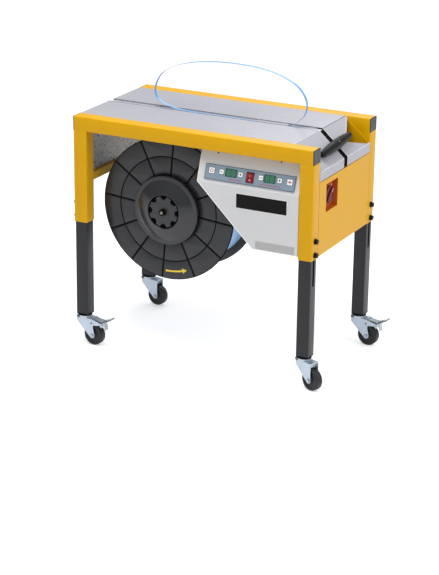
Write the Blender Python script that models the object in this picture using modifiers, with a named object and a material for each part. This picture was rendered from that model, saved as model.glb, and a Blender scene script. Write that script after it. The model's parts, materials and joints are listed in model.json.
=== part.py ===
"""Semi-automatic strapping machine on four swivel casters.

Metres, +Z up. The operator's front faces -Y and the sloping strap infeed is at the +X end.
The origin is on the floor, in the middle of the footprint.
"""

import math

import bmesh
import bpy
from mathutils import Matrix, Vector

# Overall sizes
LENGTH = 0.890  # over the end caps of the two rails
WIDTH = 0.510  # from the front face of the front legs to the rear face of the rear legs
TABLE_HEIGHT = 0.818  # top of the rails above the floor
GAP = 0.0003  # between touching pieces

# Welded frame of square tube
TUBE = 0.050
TUBE_WALL = 0.002
CAP_FACE = 0.003
CAP_PLUG = 0.015
SLEEVE_DROP = 0.371  # rail top down to the open lower end of a sleeve
END_RAIL = 0.027
END_RAIL_DROP = 0.236  # rail top down to the bottom of the cross rail

# Legs that slide in the sleeves
LEG_SLACK = 0.0004  # between a leg and its sleeve, on each side
LEG_WALL = 0.002
LEG_FLOOR = 0.004
LEG_DOWN = 0.045  # how far a leg can still be drawn out
LEG_UP = 0.105  # how far it can be pushed in
LEG_END_MARGIN = 0.003
BOLT_FIRST = 0.016  # lower clamp screw above the sleeve's end
BOLT_PITCH = 0.047
BOLT_RADIUS = 0.004
BOLT_SLACK = 0.0005
KNOB_RADIUS = 0.0085
KNOB_HEIGHT = 0.0105
NUT_BAR = (0.008, 0.022, 0.078)

# Casters
CASTER_HEIGHT = 0.109
WHEEL_RADIUS = 0.0375
WHEEL_WIDTH = 0.028
CASTER_TRAIL = 0.039
KINGPIN_RADIUS = 0.005
KINGPIN_HEAD = 0.009
FORK_SHEET = 0.0025
FORK_SLACK = 0.0025
AXLE_RADIUS = 0.004
RUNNING_GAP = 0.0003
PEDAL_PIVOT = (0.037, -0.027)
PEDAL_TIP = (0.115, -0.001)
CASTER_TURN = {
    ("front", "left"): -4.6,
    ("front", "right"): -21.6,
    ("rear", "left"): -8.7,
    ("rear", "right"): -6.2,
}
BRAKED = (("front", "left"), ("rear", "right"))

# Table of two bent sheets with the strap slot between them
SHEET = 0.002
TABLE_DROP = 0.0008  # table face below the rail tops
SLOT = 0.031
CHANNEL_DEPTH = 0.005
BEND_FROM_END = 0.093
SLOPE_DROP = 0.0828  # table face down to the top of the end lip
LIP = 0.032
TABLE_END_FOLD = 0.025
NOTCH_APEX = (0.034, 0.075)  # from the +X end, and from the slot's middle line
NOTCH_END = 0.0035
SLOPE_CHANNEL_DEPTH = 0.006
SLOPE_CHANNEL_SHEET = 0.003
GRIP_HALF = 0.126
GRIP_RADIUS = 0.0178
GRIP_TIP_RADIUS = 0.0112
GRIP_CLEARANCE = 0.0004  # between the grip and the slope
GRIP_FROM_END = 0.025
GRIP_FORWARD = 0.026  # middle of the grip in front of its stem
GRIP_TURN = 3.0
GRIP_STEM = 0.008

# End panel with the pocket of the main switch
PANEL_BELOW_LIP = 0.0024
PANEL_FOOT = 0.0015  # panel's lower edge above the sleeves' ends
POCKET = (0.092, 0.095)
POCKET_DEPTH = 0.020
POCKET_Y = -0.105
POCKET_DROP = 0.0655  # panel's upper edge down to the pocket's middle
SWITCH_PLATE = 0.064
SWITCH_PLATE_THICK = 0.0055
SWITCH_BLOCK = 0.045
SWITCH_DIAL_RADIUS = 0.0295
SWITCH_DIAL = 0.0075
SWITCH_BAR = (0.011, 0.015, 0.054)
SWITCH_REST = 45.0
FLANGE_LENGTH = 0.090
FLANGE_DROP = 0.140  # panel's upper edge down to the flange's lower edge

# Front cover, tilted above its fold
COVER_LEFT = 0.0272
COVER_TILT_DEPTH = 0.038
COVER_FOLD_DROP = 0.158  # rail top down to the fold
COVER_FOOT = 0.010  # cover's lower edge above the sleeves' ends
COVER_SLANT_END = 0.2323
COVER_DEPTH = 0.058
TRAY_CLEARANCE = 0.012  # between the reel's rim and the inner tray's slanted wall
TRAY_OPENING = (0.100, 0.033, 0.150)

# Control strip on the tilted face
STRIP = (0.3255, 0.0515, 0.003)
STRIP_RIGHT = 0.0175  # strip's right end to the cover's right edge
STRIP_UP = 0.037  # strip's middle above the fold, measured up the slope
STRIP_BOX = (0.308, 0.040, 0.022)
KEY_HEIGHT = 0.004
KEY_PROUD = 0.001
KEY_TRAVEL = 0.001
KEY_UP = 0.004
LARGE_KEY = 0.0190
SMALL_KEY = 0.0148
KEYS = {
    "stop_key": (-0.1384, LARGE_KEY),
    "time_minus_key": (-0.1025, SMALL_KEY),
    "time_plus_key": (-0.0338, SMALL_KEY),
    "tension_minus_key": (0.0397, SMALL_KEY),
    "tension_plus_key": (0.1070, SMALL_KEY),
    "feed_key": (0.1428, LARGE_KEY),
}
ROCKER = (0.024, 0.030)
ROCKER_CENTRE = (0.0014, -0.0008)
ROCKER_TILT = 12.0
ROCKER_PIVOT = 0.003
ROCKER_POCKET = 0.017

# Strap reel
REEL_DROP = 0.2505  # reel's axis below the rails
REEL_FRONT = -0.180  # y of the front flange's face
FLANGE_RADIUS = 0.248
FLANGE_SHEET = 0.004
REEL_WIDTH = 0.190  # between the front face of one flange and the other
COIL_BELOW_RIM = 0.0275
CORE_RADIUS = 0.098
CORE_WALL = 0.004
HUB_RADIUS = 0.1195
HUB_LIP = 0.0165
HUB_NOSE = 0.034
WELL_RADIUS = 0.057
NUT_RADIUS = 0.0545
NUT_THICK = 0.009
NUT_LOBES = 8
NUT_DIP = 0.0135
SPINDLE_RADIUS = 0.010
SPINDLE_NOSE = 0.045
COLLAR_RADIUS = 0.016
BRACKET_Y = 0.190
BRACKET_THICK = 0.006
BRACKET_WIDTH = 0.060

# Strap and the brake lever that it runs past
STRAP_X = 0.0994  # middle line of the strap between the coil and the feed rollers
STRAP_WIDTH = 0.012
STRAP_THICK = 0.0008
STRAP_NIP_GAP = 0.0005
LEVER_THICK = 0.005
LEVER_BEHIND = 0.016  # front of the lever behind the rear flange
LEVER_WIDTH = 0.022
LEVER_PIN_RADIUS = 0.006
LEVER_RISE = 0.500  # pin above the reel's axis, as a share of the flange's radius
LEVER_SWING = 26.0

# Sealing head
HEAD_X = (0.115, 0.235)
HEAD_BODY_X = (0.080, 0.245)
HEAD_BODY_DROP = (0.061, 0.018)
HEAD_HALF = 0.045
ANVIL_TOP_DROP = 0.0015
BEAM_X = (0.155, 0.195)
BEAM_DROP = (0.048, 0.023)
BACK_PLATE = 0.006
BACK_PLATE_CLEARANCE = 0.0015  # behind the cams
FEED_RADIUS = 0.024
PRESS_RADIUS = 0.016
ROLLER_HALF = 0.012
ROLLER_DROP = 0.098
ROLLER_PIN = 0.004
CAM_DROP = 0.148
CAM_SHAFT_RADIUS = 0.006
CAM_RADIUS = 0.0165
CAM_LIFT = 0.0050
CAM_WIDTH = 0.009
CAM_COUNT = 4
EAR_THICK = 0.006
EAR_X = (0.155, 0.245)
GEARBOX_X = (0.276, 0.300)
MOTOR_RADIUS = 0.042
MOTOR_END = 0.385

# Free strap loop: points that its middle line runs through, as x and the height over the table
LOOP_POINTS = (
    (0.1140, -0.0042), (0.0700, -0.0042), (0.0100, -0.0042), (-0.0600, -0.0040),
    (-0.1300, -0.0022), (-0.1900, 0.0033), (-0.2350, 0.0148), (-0.2600, 0.0303),
    (-0.2690, 0.0478), (-0.2685, 0.0688), (-0.2590, 0.0958), (-0.2380, 0.1228),
    (-0.1990, 0.1468), (-0.1340, 0.1678), (-0.0560, 0.1798), (0.0200, 0.1838),
    (0.0960, 0.1818), (0.1700, 0.1723), (0.2280, 0.1538), (0.2655, 0.1328),
    (0.2885, 0.1078), (0.2995, 0.0813), (0.2985, 0.0543), (0.2870, 0.0318),
    (0.2680, 0.0138), (0.2500, 0.0018), (0.2362, -0.0032),
)

# Derived places
HALF_LENGTH = LENGTH / 2
HALF_WIDTH = WIDTH / 2
LEG_X = HALF_LENGTH - TUBE / 2
LEG_Y = HALF_WIDTH - TUBE / 2
INNER_Y = HALF_WIDTH - TUBE  # inner faces of the rails
INNER_X = HALF_LENGTH - TUBE  # inner faces of the sleeves
RAIL_BOTTOM = TABLE_HEIGHT - TUBE
SLEEVE_BOTTOM = TABLE_HEIGHT - SLEEVE_DROP
BOLT_LOW = SLEEVE_BOTTOM + BOLT_FIRST
BOLT_HIGH = BOLT_LOW + BOLT_PITCH
LEG_TOP = RAIL_BOTTOM - LEG_UP - LEG_END_MARGIN
TABLE_FACE = TABLE_HEIGHT - TABLE_DROP
BEND_X = HALF_LENGTH - BEND_FROM_END
LIP_TOP = TABLE_FACE - SLOPE_DROP
LIP_BOTTOM = LIP_TOP - LIP
SLOPE = math.atan2(SLOPE_DROP, BEND_FROM_END)
GRIP_LIFT = GRIP_RADIUS + GRIP_CLEARANCE
LEG = TUBE - 2 * TUBE_WALL - 2 * LEG_SLACK
END_RAIL_BOTTOM = TABLE_HEIGHT - END_RAIL_DROP
PANEL_TOP = LIP_BOTTOM - PANEL_BELOW_LIP
POCKET_CENTRE = (POCKET_Y, PANEL_TOP - POCKET_DROP)
FLANGE_BOTTOM = PANEL_TOP - FLANGE_DROP
COVER_FOLD = TABLE_HEIGHT - COVER_FOLD_DROP
COVER_BOTTOM = SLEEVE_BOTTOM + COVER_FOOT
COIL_RADIUS = FLANGE_RADIUS - COIL_BELOW_RIM
REEL_X = STRAP_X - STRAP_THICK / 2 - STRAP_NIP_GAP - COIL_RADIUS
REEL_Z = RAIL_BOTTOM - REEL_DROP
TRAY_OFFSET = FLANGE_RADIUS + TRAY_CLEARANCE
LEVER_PIN_Z = REEL_Z + LEVER_RISE * FLANGE_RADIUS
HEAD_BODY_Z = (TABLE_HEIGHT - HEAD_BODY_DROP[0], TABLE_HEIGHT - HEAD_BODY_DROP[1])
BEAM_Z = (TABLE_HEIGHT - BEAM_DROP[0], TABLE_HEIGHT - BEAM_DROP[1])
BACK_PLATE_FRONT = CAM_RADIUS + BACK_PLATE_CLEARANCE
BACK_PLATE_Y = (BACK_PLATE_FRONT, BACK_PLATE_FRONT + BACK_PLATE)
ROLLER_Z = TABLE_HEIGHT - ROLLER_DROP
CAM_Z = TABLE_HEIGHT - CAM_DROP
SIDES = {"front": -1, "rear": 1}
ENDS = {"left": -1, "right": 1}

YELLOW = ("yellow_enamel", (0.74, 0.37, 0.02), 0.35, 0.0)
BLACK_ENAMEL = ("black_enamel", (0.030, 0.032, 0.035), 0.4, 0.0)
GREY_SHEET = ("grey_table_enamel", (0.40, 0.40, 0.45), 0.4, 0.0)
LIGHT_COVER = ("light_grey_cover", (0.64, 0.64, 0.63), 0.45, 0.0)
BLACK_PLASTIC = ("black_plastic", (0.028, 0.029, 0.031), 0.45, 0.0)
ZINC = ("zinc_plate", (0.58, 0.62, 0.66), 0.3, 1.0)
STEEL = ("bright_steel", (0.56, 0.57, 0.58), 0.3, 1.0)
GALVANISED = ("galvanised_sheet", (0.52, 0.52, 0.50), 0.5, 0.9)
RUBBER = ("black_rubber", (0.022, 0.022, 0.022), 0.7, 0.0)
STRAP_BLUE = ("blue_strap", (0.16, 0.38, 0.68), 0.35, 0.0)
PANEL_BLUE = ("blue_grey_panel", (0.27, 0.36, 0.42), 0.4, 0.0)
WHITE_KEY = ("white_key", (0.80, 0.80, 0.80), 0.4, 0.0)
RED_PLASTIC = ("red_plastic", (0.42, 0.012, 0.012), 0.3, 0.0)
SWITCH_YELLOW = ("switch_yellow", (0.66, 0.26, 0.02), 0.4, 0.0)
CAST = ("cast_aluminium", (0.50, 0.50, 0.50), 0.5, 1.0)


def clear_scene():
    for obj in list(bpy.data.objects):
        bpy.data.objects.remove(obj, do_unlink=True)


def new_collection(name):
    collection = bpy.data.collections.new(name)
    bpy.context.scene.collection.children.link(collection)
    return collection


def finish_of(spec):
    """The Principled material that a (name, colour, roughness, metallic) tuple stands for."""
    name, colour, roughness, metallic = spec
    found = bpy.data.materials.get(name)
    if found:
        return found
    material = bpy.data.materials.new(name)
    material.use_nodes = True
    shader = material.node_tree.nodes["Principled BSDF"]
    shader.inputs["Base Color"].default_value = (*colour, 1.0)
    shader.inputs["Roughness"].default_value = roughness
    shader.inputs["Metallic"].default_value = metallic
    material.diffuse_color = (*colour, 1.0)
    return material


# Meshes, each in the local frame of the piece that it becomes


def mesh_from(bm):
    bmesh.ops.recalc_face_normals(bm, faces=bm.faces)
    mesh = bpy.data.meshes.new("shape")
    bm.to_mesh(mesh)
    bm.free()
    return mesh


def block(x, y, z):
    """A box between the pairs x, y and z."""
    low = Vector((min(x), min(y), min(z)))
    high = Vector((max(x), max(y), max(z)))
    bm = bmesh.new()
    bmesh.ops.create_cube(bm, size=1.0)
    bmesh.ops.scale(bm, vec=high - low, verts=bm.verts)
    bmesh.ops.translate(bm, vec=(low + high) / 2, verts=bm.verts)
    return mesh_from(bm)


def rod(radius, start, end, sides=20):
    """A round bar from start to end."""
    start, end = Vector(start), Vector(end)
    run = end - start
    turn = run.to_track_quat("Z", "Y").to_matrix().to_4x4()
    bm = bmesh.new()
    bmesh.ops.create_cone(
        bm, cap_ends=True, segments=sides, radius1=radius, radius2=radius, depth=run.length
    )
    bmesh.ops.transform(bm, matrix=Matrix.Translation((start + end) / 2) @ turn, verts=bm.verts)
    return mesh_from(bm)


def baked(obj, matrix):
    """The evaluated mesh of a helper object, welded and moved by matrix; the helper is removed."""
    graph = bpy.context.evaluated_depsgraph_get()
    mesh = bpy.data.meshes.new_from_object(obj.evaluated_get(graph))
    bm = bmesh.new()
    bm.from_mesh(mesh)
    bmesh.ops.remove_doubles(bm, verts=bm.verts, dist=1e-6)
    bmesh.ops.transform(bm, matrix=matrix, verts=bm.verts)
    bpy.data.objects.remove(obj, do_unlink=True)
    bpy.data.meshes.remove(mesh)
    return mesh_from(bm)


AXIS_FRAMES = {
    "X": Matrix(((0, 0, 1, 0), (1, 0, 0, 0), (0, 1, 0, 0), (0, 0, 0, 1))),
    "Y": Matrix(((1, 0, 0, 0), (0, 0, -1, 0), (0, 1, 0, 0), (0, 0, 0, 1))),
    "Z": Matrix.Identity(4),
}


def plate(outline, axis, low, high):
    """A flat outline given thickness along axis: (y, z) points for X, (x, z) for Y, (x, y) for Z."""
    curve = bpy.data.curves.new("outline", "CURVE")
    curve.dimensions = "2D"
    curve.fill_mode = "BOTH"
    curve.extrude = (high - low) / 2
    spline = curve.splines.new("POLY")
    spline.points.add(len(outline) - 1)
    for point, (u, v) in zip(spline.points, outline):
        point.co = (u, v, 0.0, 1.0)
    spline.use_cyclic_u = True
    helper = bpy.data.objects.new("outline", curve)
    bpy.context.scene.collection.objects.link(helper)
    middle = (low + high) / 2
    offset = {"X": (middle, 0, 0), "Y": (0, middle, 0), "Z": (0, 0, middle)}[axis]
    return baked(helper, Matrix.Translation(offset) @ AXIS_FRAMES[axis])


def turned(profile, sides=32, closed=True):
    """A profile of (radius, z) points turned about the local Z axis."""
    mesh = bpy.data.meshes.new("profile")
    count = len(profile)
    edges = [(i, i + 1) for i in range(count - 1)]
    if closed:
        edges.append((count - 1, 0))
    mesh.from_pydata([(radius, 0.0, z) for radius, z in profile], edges, [])
    helper = bpy.data.objects.new("profile", mesh)
    bpy.context.scene.collection.objects.link(helper)
    screw = helper.modifiers.new("turn", "SCREW")
    screw.steps = screw.render_steps = sides
    screw.use_merge_vertices = True
    screw.merge_threshold = 1e-5
    return baked(helper, Matrix.Identity(4))


def arc(centre, radius, start, end, count):
    """Points along an arc between two angles in degrees."""
    steps = [math.radians(start + (end - start) * i / (count - 1)) for i in range(count)]
    return [(centre[0] + radius * math.cos(a), centre[1] + radius * math.sin(a)) for a in steps]


def offset_path(path, distance):
    """The path moved to its left by distance, with mitred corners."""
    moved = []
    for i, (u, v) in enumerate(path):
        normals = []
        for a, b in ((i - 1, i), (i, i + 1)):
            if a < 0 or b >= len(path):
                continue
            du, dv = path[b][0] - path[a][0], path[b][1] - path[a][1]
            length = math.hypot(du, dv)
            normals.append((-dv / length, du / length))
        nu = sum(n[0] for n in normals) / len(normals)
        nv = sum(n[1] for n in normals) / len(normals)
        stretch = distance / (nu * nu + nv * nv)
        moved.append((u + nu * stretch, v + nv * stretch))
    return moved


def bent_sheet(path, thickness, axis, low, high):
    """Sheet folded along path, its material on the path's left side."""
    return plate(path + offset_path(path, thickness)[::-1], axis, low, high)


def smooth_path(points, steps):
    """A Catmull-Rom curve through the points, with steps points to each span."""
    ends = [points[0], *points, points[-1]]
    path = []
    for i in range(1, len(ends) - 2):
        p = ends[i - 1 : i + 3]
        for k in range(steps):
            t = k / steps
            weights = (
                -0.5 * t**3 + t**2 - 0.5 * t,
                1.5 * t**3 - 2.5 * t**2 + 1,
                -1.5 * t**3 + 2 * t**2 + 0.5 * t,
                0.5 * t**3 - 0.5 * t**2,
            )
            path.append(tuple(sum(w * q[c] for w, q in zip(weights, p)) for c in (0, 1)))
    return [*path, tuple(points[-1])]


# Objects


class Machine:
    """The collections and the empty that every piece hangs from."""

    def __init__(self):
        self.parts = new_collection("strapping_machine")
        self.cutters = new_collection("cutters")
        self.base = self.empty("machine_base", (0, 0, 0), None)

    def empty(self, name, location, parent, rotation=(0, 0, 0)):
        obj = bpy.data.objects.new(name, None)
        obj.location = location
        obj.rotation_euler = rotation
        obj.parent = parent
        self.parts.objects.link(obj)
        return obj

    def piece(self, name, mesh, finish, location=(0, 0, 0), rotation=(0, 0, 0), parent=None):
        mesh.name = name
        mesh.materials.append(finish_of(finish))
        obj = bpy.data.objects.new(name, mesh)
        obj.location = location
        obj.rotation_euler = rotation
        obj.parent = parent or self.base
        self.parts.objects.link(obj)
        return obj

    def tool(self, target, mesh, operation):
        """Joins a mesh to a piece, or cuts it away, with a Boolean."""
        helper = bpy.data.objects.new(f"{target.name}_{operation.lower()}", mesh)
        helper.parent = target
        helper.hide_render = True
        helper.display_type = "WIRE"
        self.cutters.objects.link(helper)
        boolean = target.modifiers.new(operation.title(), "BOOLEAN")
        boolean.operation = operation
        boolean.solver = "EXACT"
        boolean.object = helper
        return helper

    def join(self, target, *meshes):
        for mesh in meshes:
            self.tool(target, mesh, "UNION")

    def cut(self, target, *meshes):
        for mesh in meshes:
            self.tool(target, mesh, "DIFFERENCE")


def mirror_pair(low, high, sign):
    """A span that is mirrored when sign is -1."""
    return (low, high) if sign > 0 else (-high, -low)


def slope_z(x):
    """Height of the sloping table face at x."""
    return TABLE_FACE - math.tan(SLOPE) * (x - BEND_X)


def build_frame(machine):
    tube_end = HALF_LENGTH - CAP_FACE - GAP
    bore = TUBE / 2 - TUBE_WALL
    plug = bore - GAP
    rail_z = (RAIL_BOTTOM, TABLE_HEIGHT)
    middle_z = RAIL_BOTTOM + TUBE / 2
    for side, sy in SIDES.items():
        y = sy * LEG_Y
        rail = machine.piece(
            f"{side}_rail",
            block((-tube_end, tube_end), (y - TUBE / 2, y + TUBE / 2), rail_z),
            YELLOW,
        )
        machine.cut(
            rail,
            block(
                (-LENGTH, LENGTH), (y - bore, y + bore), (middle_z - bore, middle_z + bore)
            ),
        )
        for end, sx in ENDS.items():
            face = mirror_pair(HALF_LENGTH - CAP_FACE, HALF_LENGTH, sx)
            inner = mirror_pair(tube_end - CAP_PLUG, HALF_LENGTH - CAP_FACE / 2, sx)
            cap = machine.piece(
                f"{side}_{end}_rail_cap",
                block(face, (y - TUBE / 2, y + TUBE / 2), rail_z),
                BLACK_PLASTIC,
            )
            machine.join(
                cap,
                block(inner, (y - plug, y + plug), (middle_z - plug, middle_z + plug)),
            )


def build_sleeve(machine, side, end):
    sy, sx = SIDES[side], ENDS[end]
    x, y = sx * LEG_X, sy * LEG_Y
    bore = TUBE / 2 - TUBE_WALL
    half = TUBE / 2
    sleeve = machine.piece(
        f"{side}_{end}_sleeve",
        block(
            (x - half, x + half), (y - half, y + half), (SLEEVE_BOTTOM, RAIL_BOTTOM - GAP)
        ),
        YELLOW,
    )
    machine.cut(sleeve, block((x - bore, x + bore), (y - bore, y + bore), (0, TABLE_HEIGHT)))
    for z in (BOLT_LOW, BOLT_HIGH):
        hole = BOLT_RADIUS + BOLT_SLACK
        machine.cut(sleeve, rod(hole, (x, y, z), (x + sx * TUBE, y, z), 12))


def build_clamp(machine, side, end):
    """Two knob screws and the nut bar inside the leg that they draw against its wall."""
    sy, sx = SIDES[side], ENDS[end]
    x, y = sx * LEG_X, sy * LEG_Y
    thick, wide, tall = NUT_BAR
    outer = LEG / 2 - LEG_WALL - GAP
    middle = (BOLT_LOW + BOLT_HIGH) / 2
    head = LEG_X + TUBE / 2 + GAP
    clamp = machine.piece(
        f"{side}_{end}_leg_clamp",
        block(
            mirror_pair(LEG_X + outer - thick, LEG_X + outer, sx),
            (y - wide / 2, y + wide / 2),
            (middle - tall / 2, middle + tall / 2),
        ),
        BLACK_PLASTIC,
    )
    for z in (BOLT_LOW, BOLT_HIGH):
        start = (sx * (LEG_X + outer - thick / 2), y, z)
        machine.join(
            clamp,
            rod(BOLT_RADIUS, start, (sx * (head + KNOB_HEIGHT / 2), y, z), 12),
            rod(KNOB_RADIUS, (sx * head, y, z), (sx * (head + KNOB_HEIGHT), y, z), 16),
        )
    return x


def build_leg(machine, side, end):
    """Black square tube with a slot for the clamp screws; its origin is on the kingpin."""
    sy, sx = SIDES[side], ENDS[end]
    half = LEG / 2
    bore = half - LEG_WALL
    height = LEG_TOP - CASTER_HEIGHT
    leg = machine.piece(
        f"{side}_{end}_leg",
        block((-half, half), (-half, half), (0, height)),
        BLACK_ENAMEL,
        location=(sx * LEG_X, sy * LEG_Y, CASTER_HEIGHT),
    )
    machine.cut(leg, block((-bore, bore), (-bore, bore), (LEG_FLOOR, LENGTH)))
    width = BOLT_RADIUS + BOLT_SLACK
    low = BOLT_LOW - LEG_UP - width - CASTER_HEIGHT
    high = BOLT_HIGH + LEG_DOWN + width - CASTER_HEIGHT
    machine.cut(leg, block((0, sx * TUBE), (-width, width), (low, high)))
    machine.cut(leg, rod(KINGPIN_RADIUS + 2 * RUNNING_GAP, (0, 0, -LEG_FLOOR), (0, 0, 0.01), 16))
    return leg


def cheek_outline(braked):
    """Side plate of the fork, in x along the trail and z down from the leg."""
    axle = (CASTER_TRAIL, WHEEL_RADIUS - CASTER_HEIGHT)
    top = -0.0152
    bottom = arc(axle, 0.0105, 215, 350, 7)
    front = [(0.0485, -0.050), (0.0470, top)]
    if braked:
        front = [(0.0425, -0.0390), (0.0445, -0.0345), (0.0690, -0.0300), (0.0740, -0.0265),
                 (0.0740, -0.0210), (0.0400, top)]
    return [(-0.0225, top), (-0.0225, -0.028), *bottom, *front]


def build_caster(machine, side, end, leg):
    """Swivel caster: fork on its kingpin, wheel on its axle and, on two of them, a brake pedal."""
    fork_y = WHEEL_WIDTH / 2 + FORK_SLACK
    cheek = (fork_y, fork_y + FORK_SHEET)
    braked = (side, end) in BRAKED
    turn = math.radians(CASTER_TURN[(side, end)])
    race = [(0.0, -GAP), (0.017, -GAP), (0.0225, -0.0055), (0.0225, -0.0125), (0.0, -0.0125)]
    fork = machine.piece(
        f"{side}_{end}_caster_fork",
        turned(race, 24, closed=False),
        ZINC,
        rotation=(0, 0, turn),
        parent=leg,
    )
    crown_end = 0.040 if braked else 0.047
    machine.join(
        fork,
        block((-0.0225, crown_end), (-cheek[1], cheek[1]), (-0.0152, -0.0120)),
        rod(KINGPIN_RADIUS, (0, 0, -0.010), (0, 0, LEG_FLOOR + 0.004), 16),
        rod(KINGPIN_HEAD, (0, 0, LEG_FLOOR + GAP), (0, 0, LEG_FLOOR + 0.0065), 6),
    )
    outline = [(u, v + 0.001 if v > -0.016 else v) for u, v in cheek_outline(braked)]
    for sign in (-1, 1):
        machine.join(fork, plate(outline, "Y", *mirror_pair(*cheek, sign)))
    axle_z = WHEEL_RADIUS - CASTER_HEIGHT
    reach = cheek[1] + 0.003
    machine.join(
        fork,
        rod(AXLE_RADIUS, (CASTER_TRAIL, -reach, axle_z), (CASTER_TRAIL, reach, axle_z), 16),
    )
    for sign in (-1, 1):
        machine.join(
            fork,
            rod(
                0.0065,
                (CASTER_TRAIL, sign * (cheek[1] - 0.0005), axle_z),
                (CASTER_TRAIL, sign * (cheek[1] + 0.002), axle_z),
                6,
            ),
        )
    build_wheel(machine, f"{side}_{end}_wheel", fork, axle_z)
    if braked:
        build_pedal(machine, f"{side}_{end}_brake_pedal", fork, cheek[0])


def build_wheel(machine, name, fork, axle_z):
    half = WHEEL_WIDTH / 2
    bore = AXLE_RADIUS + RUNNING_GAP
    profile = [
        (bore, half),
        (0.012, half),
        (0.014, half - 0.003),
        (0.0265, half - 0.003),
        (WHEEL_RADIUS - 0.003, half - 0.001),
        (WHEEL_RADIUS, half - 0.007),
    ]
    profile += [(radius, -z) for radius, z in reversed(profile)]
    machine.piece(
        name,
        turned(profile, 24),
        RUBBER,
        location=(CASTER_TRAIL, 0, axle_z),
        rotation=(math.pi / 2, 0, 0),
        parent=fork,
    )


def build_pedal(machine, name, fork, cheek_inner):
    """Pressed steel lever on its own pivot between the cheeks; its origin is on the pivot."""
    pivot_x, pivot_z = PEDAL_PIVOT
    tip = (PEDAL_TIP[0] - pivot_x, PEDAL_TIP[1] - pivot_z)
    half = cheek_inner - GAP
    path = [(0.0050, 0.0100), (0.0480, 0.0085), tip]
    pedal = machine.piece(
        name,
        bent_sheet(path, 0.003, "Y", -0.012, 0.012),
        ZINC,
        location=(pivot_x, 0, pivot_z),
        parent=fork,
    )
    shoe = [(0.0080, 0.0110), (0.0420, 0.0100), (0.0400, 0.0020), (0.0345, -0.0150),
            (0.0295, -0.0125), (0.0230, 0.0000), (0.0060, -0.0035), (-0.0035, -0.0020),
            (-0.0035, 0.0020), (0.0040, 0.0060)]
    tab = [(0.0410, 0.0105), (0.0475, 0.0105), (0.0530, -0.0195), (0.0490, -0.0205)]
    machine.join(
        pedal,
        plate(shoe, "Y", -0.008, 0.008),
        plate(tab, "Y", -0.009, 0.009),
        rod(0.003, (0, -half, 0), (0, half, 0), 12),
    )


def table_path(z_shift=0.0, x_end=HALF_LENGTH, fold=TABLE_END_FOLD):
    """Outer face of a table sheet from the lip at the +X end back to the fold at the -X end."""
    return [
        (x_end, LIP_BOTTOM),
        (x_end, LIP_TOP - z_shift),
        (BEND_X, TABLE_FACE - z_shift),
        (-HALF_LENGTH, TABLE_FACE - z_shift),
        (-HALF_LENGTH, TABLE_FACE - z_shift - fold),
    ]


def build_table(machine):
    edge = INNER_Y - GAP
    slot = SLOT / 2
    machine.piece(
        "front_table_half",
        bent_sheet(table_path(), SHEET, "Y", -edge, -slot),
        GREY_SHEET,
    )
    rear = machine.piece(
        "rear_table_half",
        bent_sheet(table_path(), SHEET, "Y", slot, edge),
        GREY_SHEET,
    )
    floor = TABLE_FACE - CHANNEL_DEPTH
    channel_end = BEND_X - 0.0205
    machine.join(
        rear,
        block(
            (-HALF_LENGTH, channel_end), (slot, slot + SHEET), (floor - 0.0015, TABLE_FACE - 0.001)
        ),
        block(
            (-HALF_LENGTH, channel_end), (-slot + GAP, slot + SHEET), (floor - 0.0015, floor)
        ),
    )
    opening = 0.0005
    machine.cut(
        rear,
        block(
            (HEAD_X[0] - opening, HEAD_X[1] + opening),
            (-SLOT, slot - GAP),
            (floor - 0.01, TABLE_HEIGHT),
        ),
    )
    notch = [
        (BEND_X + 0.002, edge + 0.01),
        (HALF_LENGTH - NOTCH_APEX[0], NOTCH_APEX[1]),
        (HALF_LENGTH - NOTCH_END, edge - 0.0240),
        (HALF_LENGTH - NOTCH_END, edge + 0.01),
    ]
    machine.cut(rear, plate(notch, "Z", LIP_TOP - 0.012, TABLE_HEIGHT + 0.01))
    build_slope_channel(machine, slot)


def build_slope_channel(machine, slot):
    deep = SLOPE_CHANNEL_DEPTH
    start = BEND_X - 0.020
    path = [
        (HALF_LENGTH - deep, LIP_BOTTOM),
        (HALF_LENGTH - deep, LIP_TOP - deep * math.tan(math.pi / 4 - SLOPE / 2)),
        (BEND_X - deep * math.tan(SLOPE / 2), TABLE_FACE - deep),
        (start, TABLE_FACE - deep),
    ]
    machine.piece(
        "slope_channel",
        bent_sheet(path, SLOPE_CHANNEL_SHEET, "Y", -slot + GAP, slot - GAP),
        BLACK_PLASTIC,
    )


def build_grip(machine):
    """Black handgrip across the slope, on a stem that stands in the slot."""
    profile = [(0.0, GRIP_HALF)]
    profile += [
        (radius, GRIP_HALF - GRIP_TIP_RADIUS * 0.7 + z)
        for z, radius in arc((0, 0), GRIP_TIP_RADIUS, 40, 90, 4)
    ]
    for share in (0.55, 0.25, 0.0):
        swell = GRIP_RADIUS - (GRIP_RADIUS - GRIP_TIP_RADIUS) * share**1.6
        profile.append((swell, GRIP_HALF * share))
    profile += [(radius, -z) for radius, z in reversed(profile[:-1])]
    normal = Vector((math.sin(SLOPE), 0, math.cos(SLOPE)))
    x = HALF_LENGTH - GRIP_FROM_END - normal.x * GRIP_LIFT
    centre = Vector((x, -GRIP_FORWARD, slope_z(x))) + normal * GRIP_LIFT
    turn = Matrix.Rotation(math.radians(GRIP_TURN), 4, normal)
    turn = turn @ Matrix.Rotation(math.pi / 2, 4, "X")
    grip = machine.piece(
        "slope_grip",
        turned(profile, 16, closed=False),
        BLACK_PLASTIC,
        location=centre,
        rotation=turn.to_euler(),
    )
    down = GRIP_LIFT + SLOPE_CHANNEL_DEPTH - GAP
    start = Vector((0, 0, -GRIP_FORWARD))
    machine.join(
        grip, rod(GRIP_STEM, start, start - Vector((normal.x, normal.z, 0)) * down, 16)
    )


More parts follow.
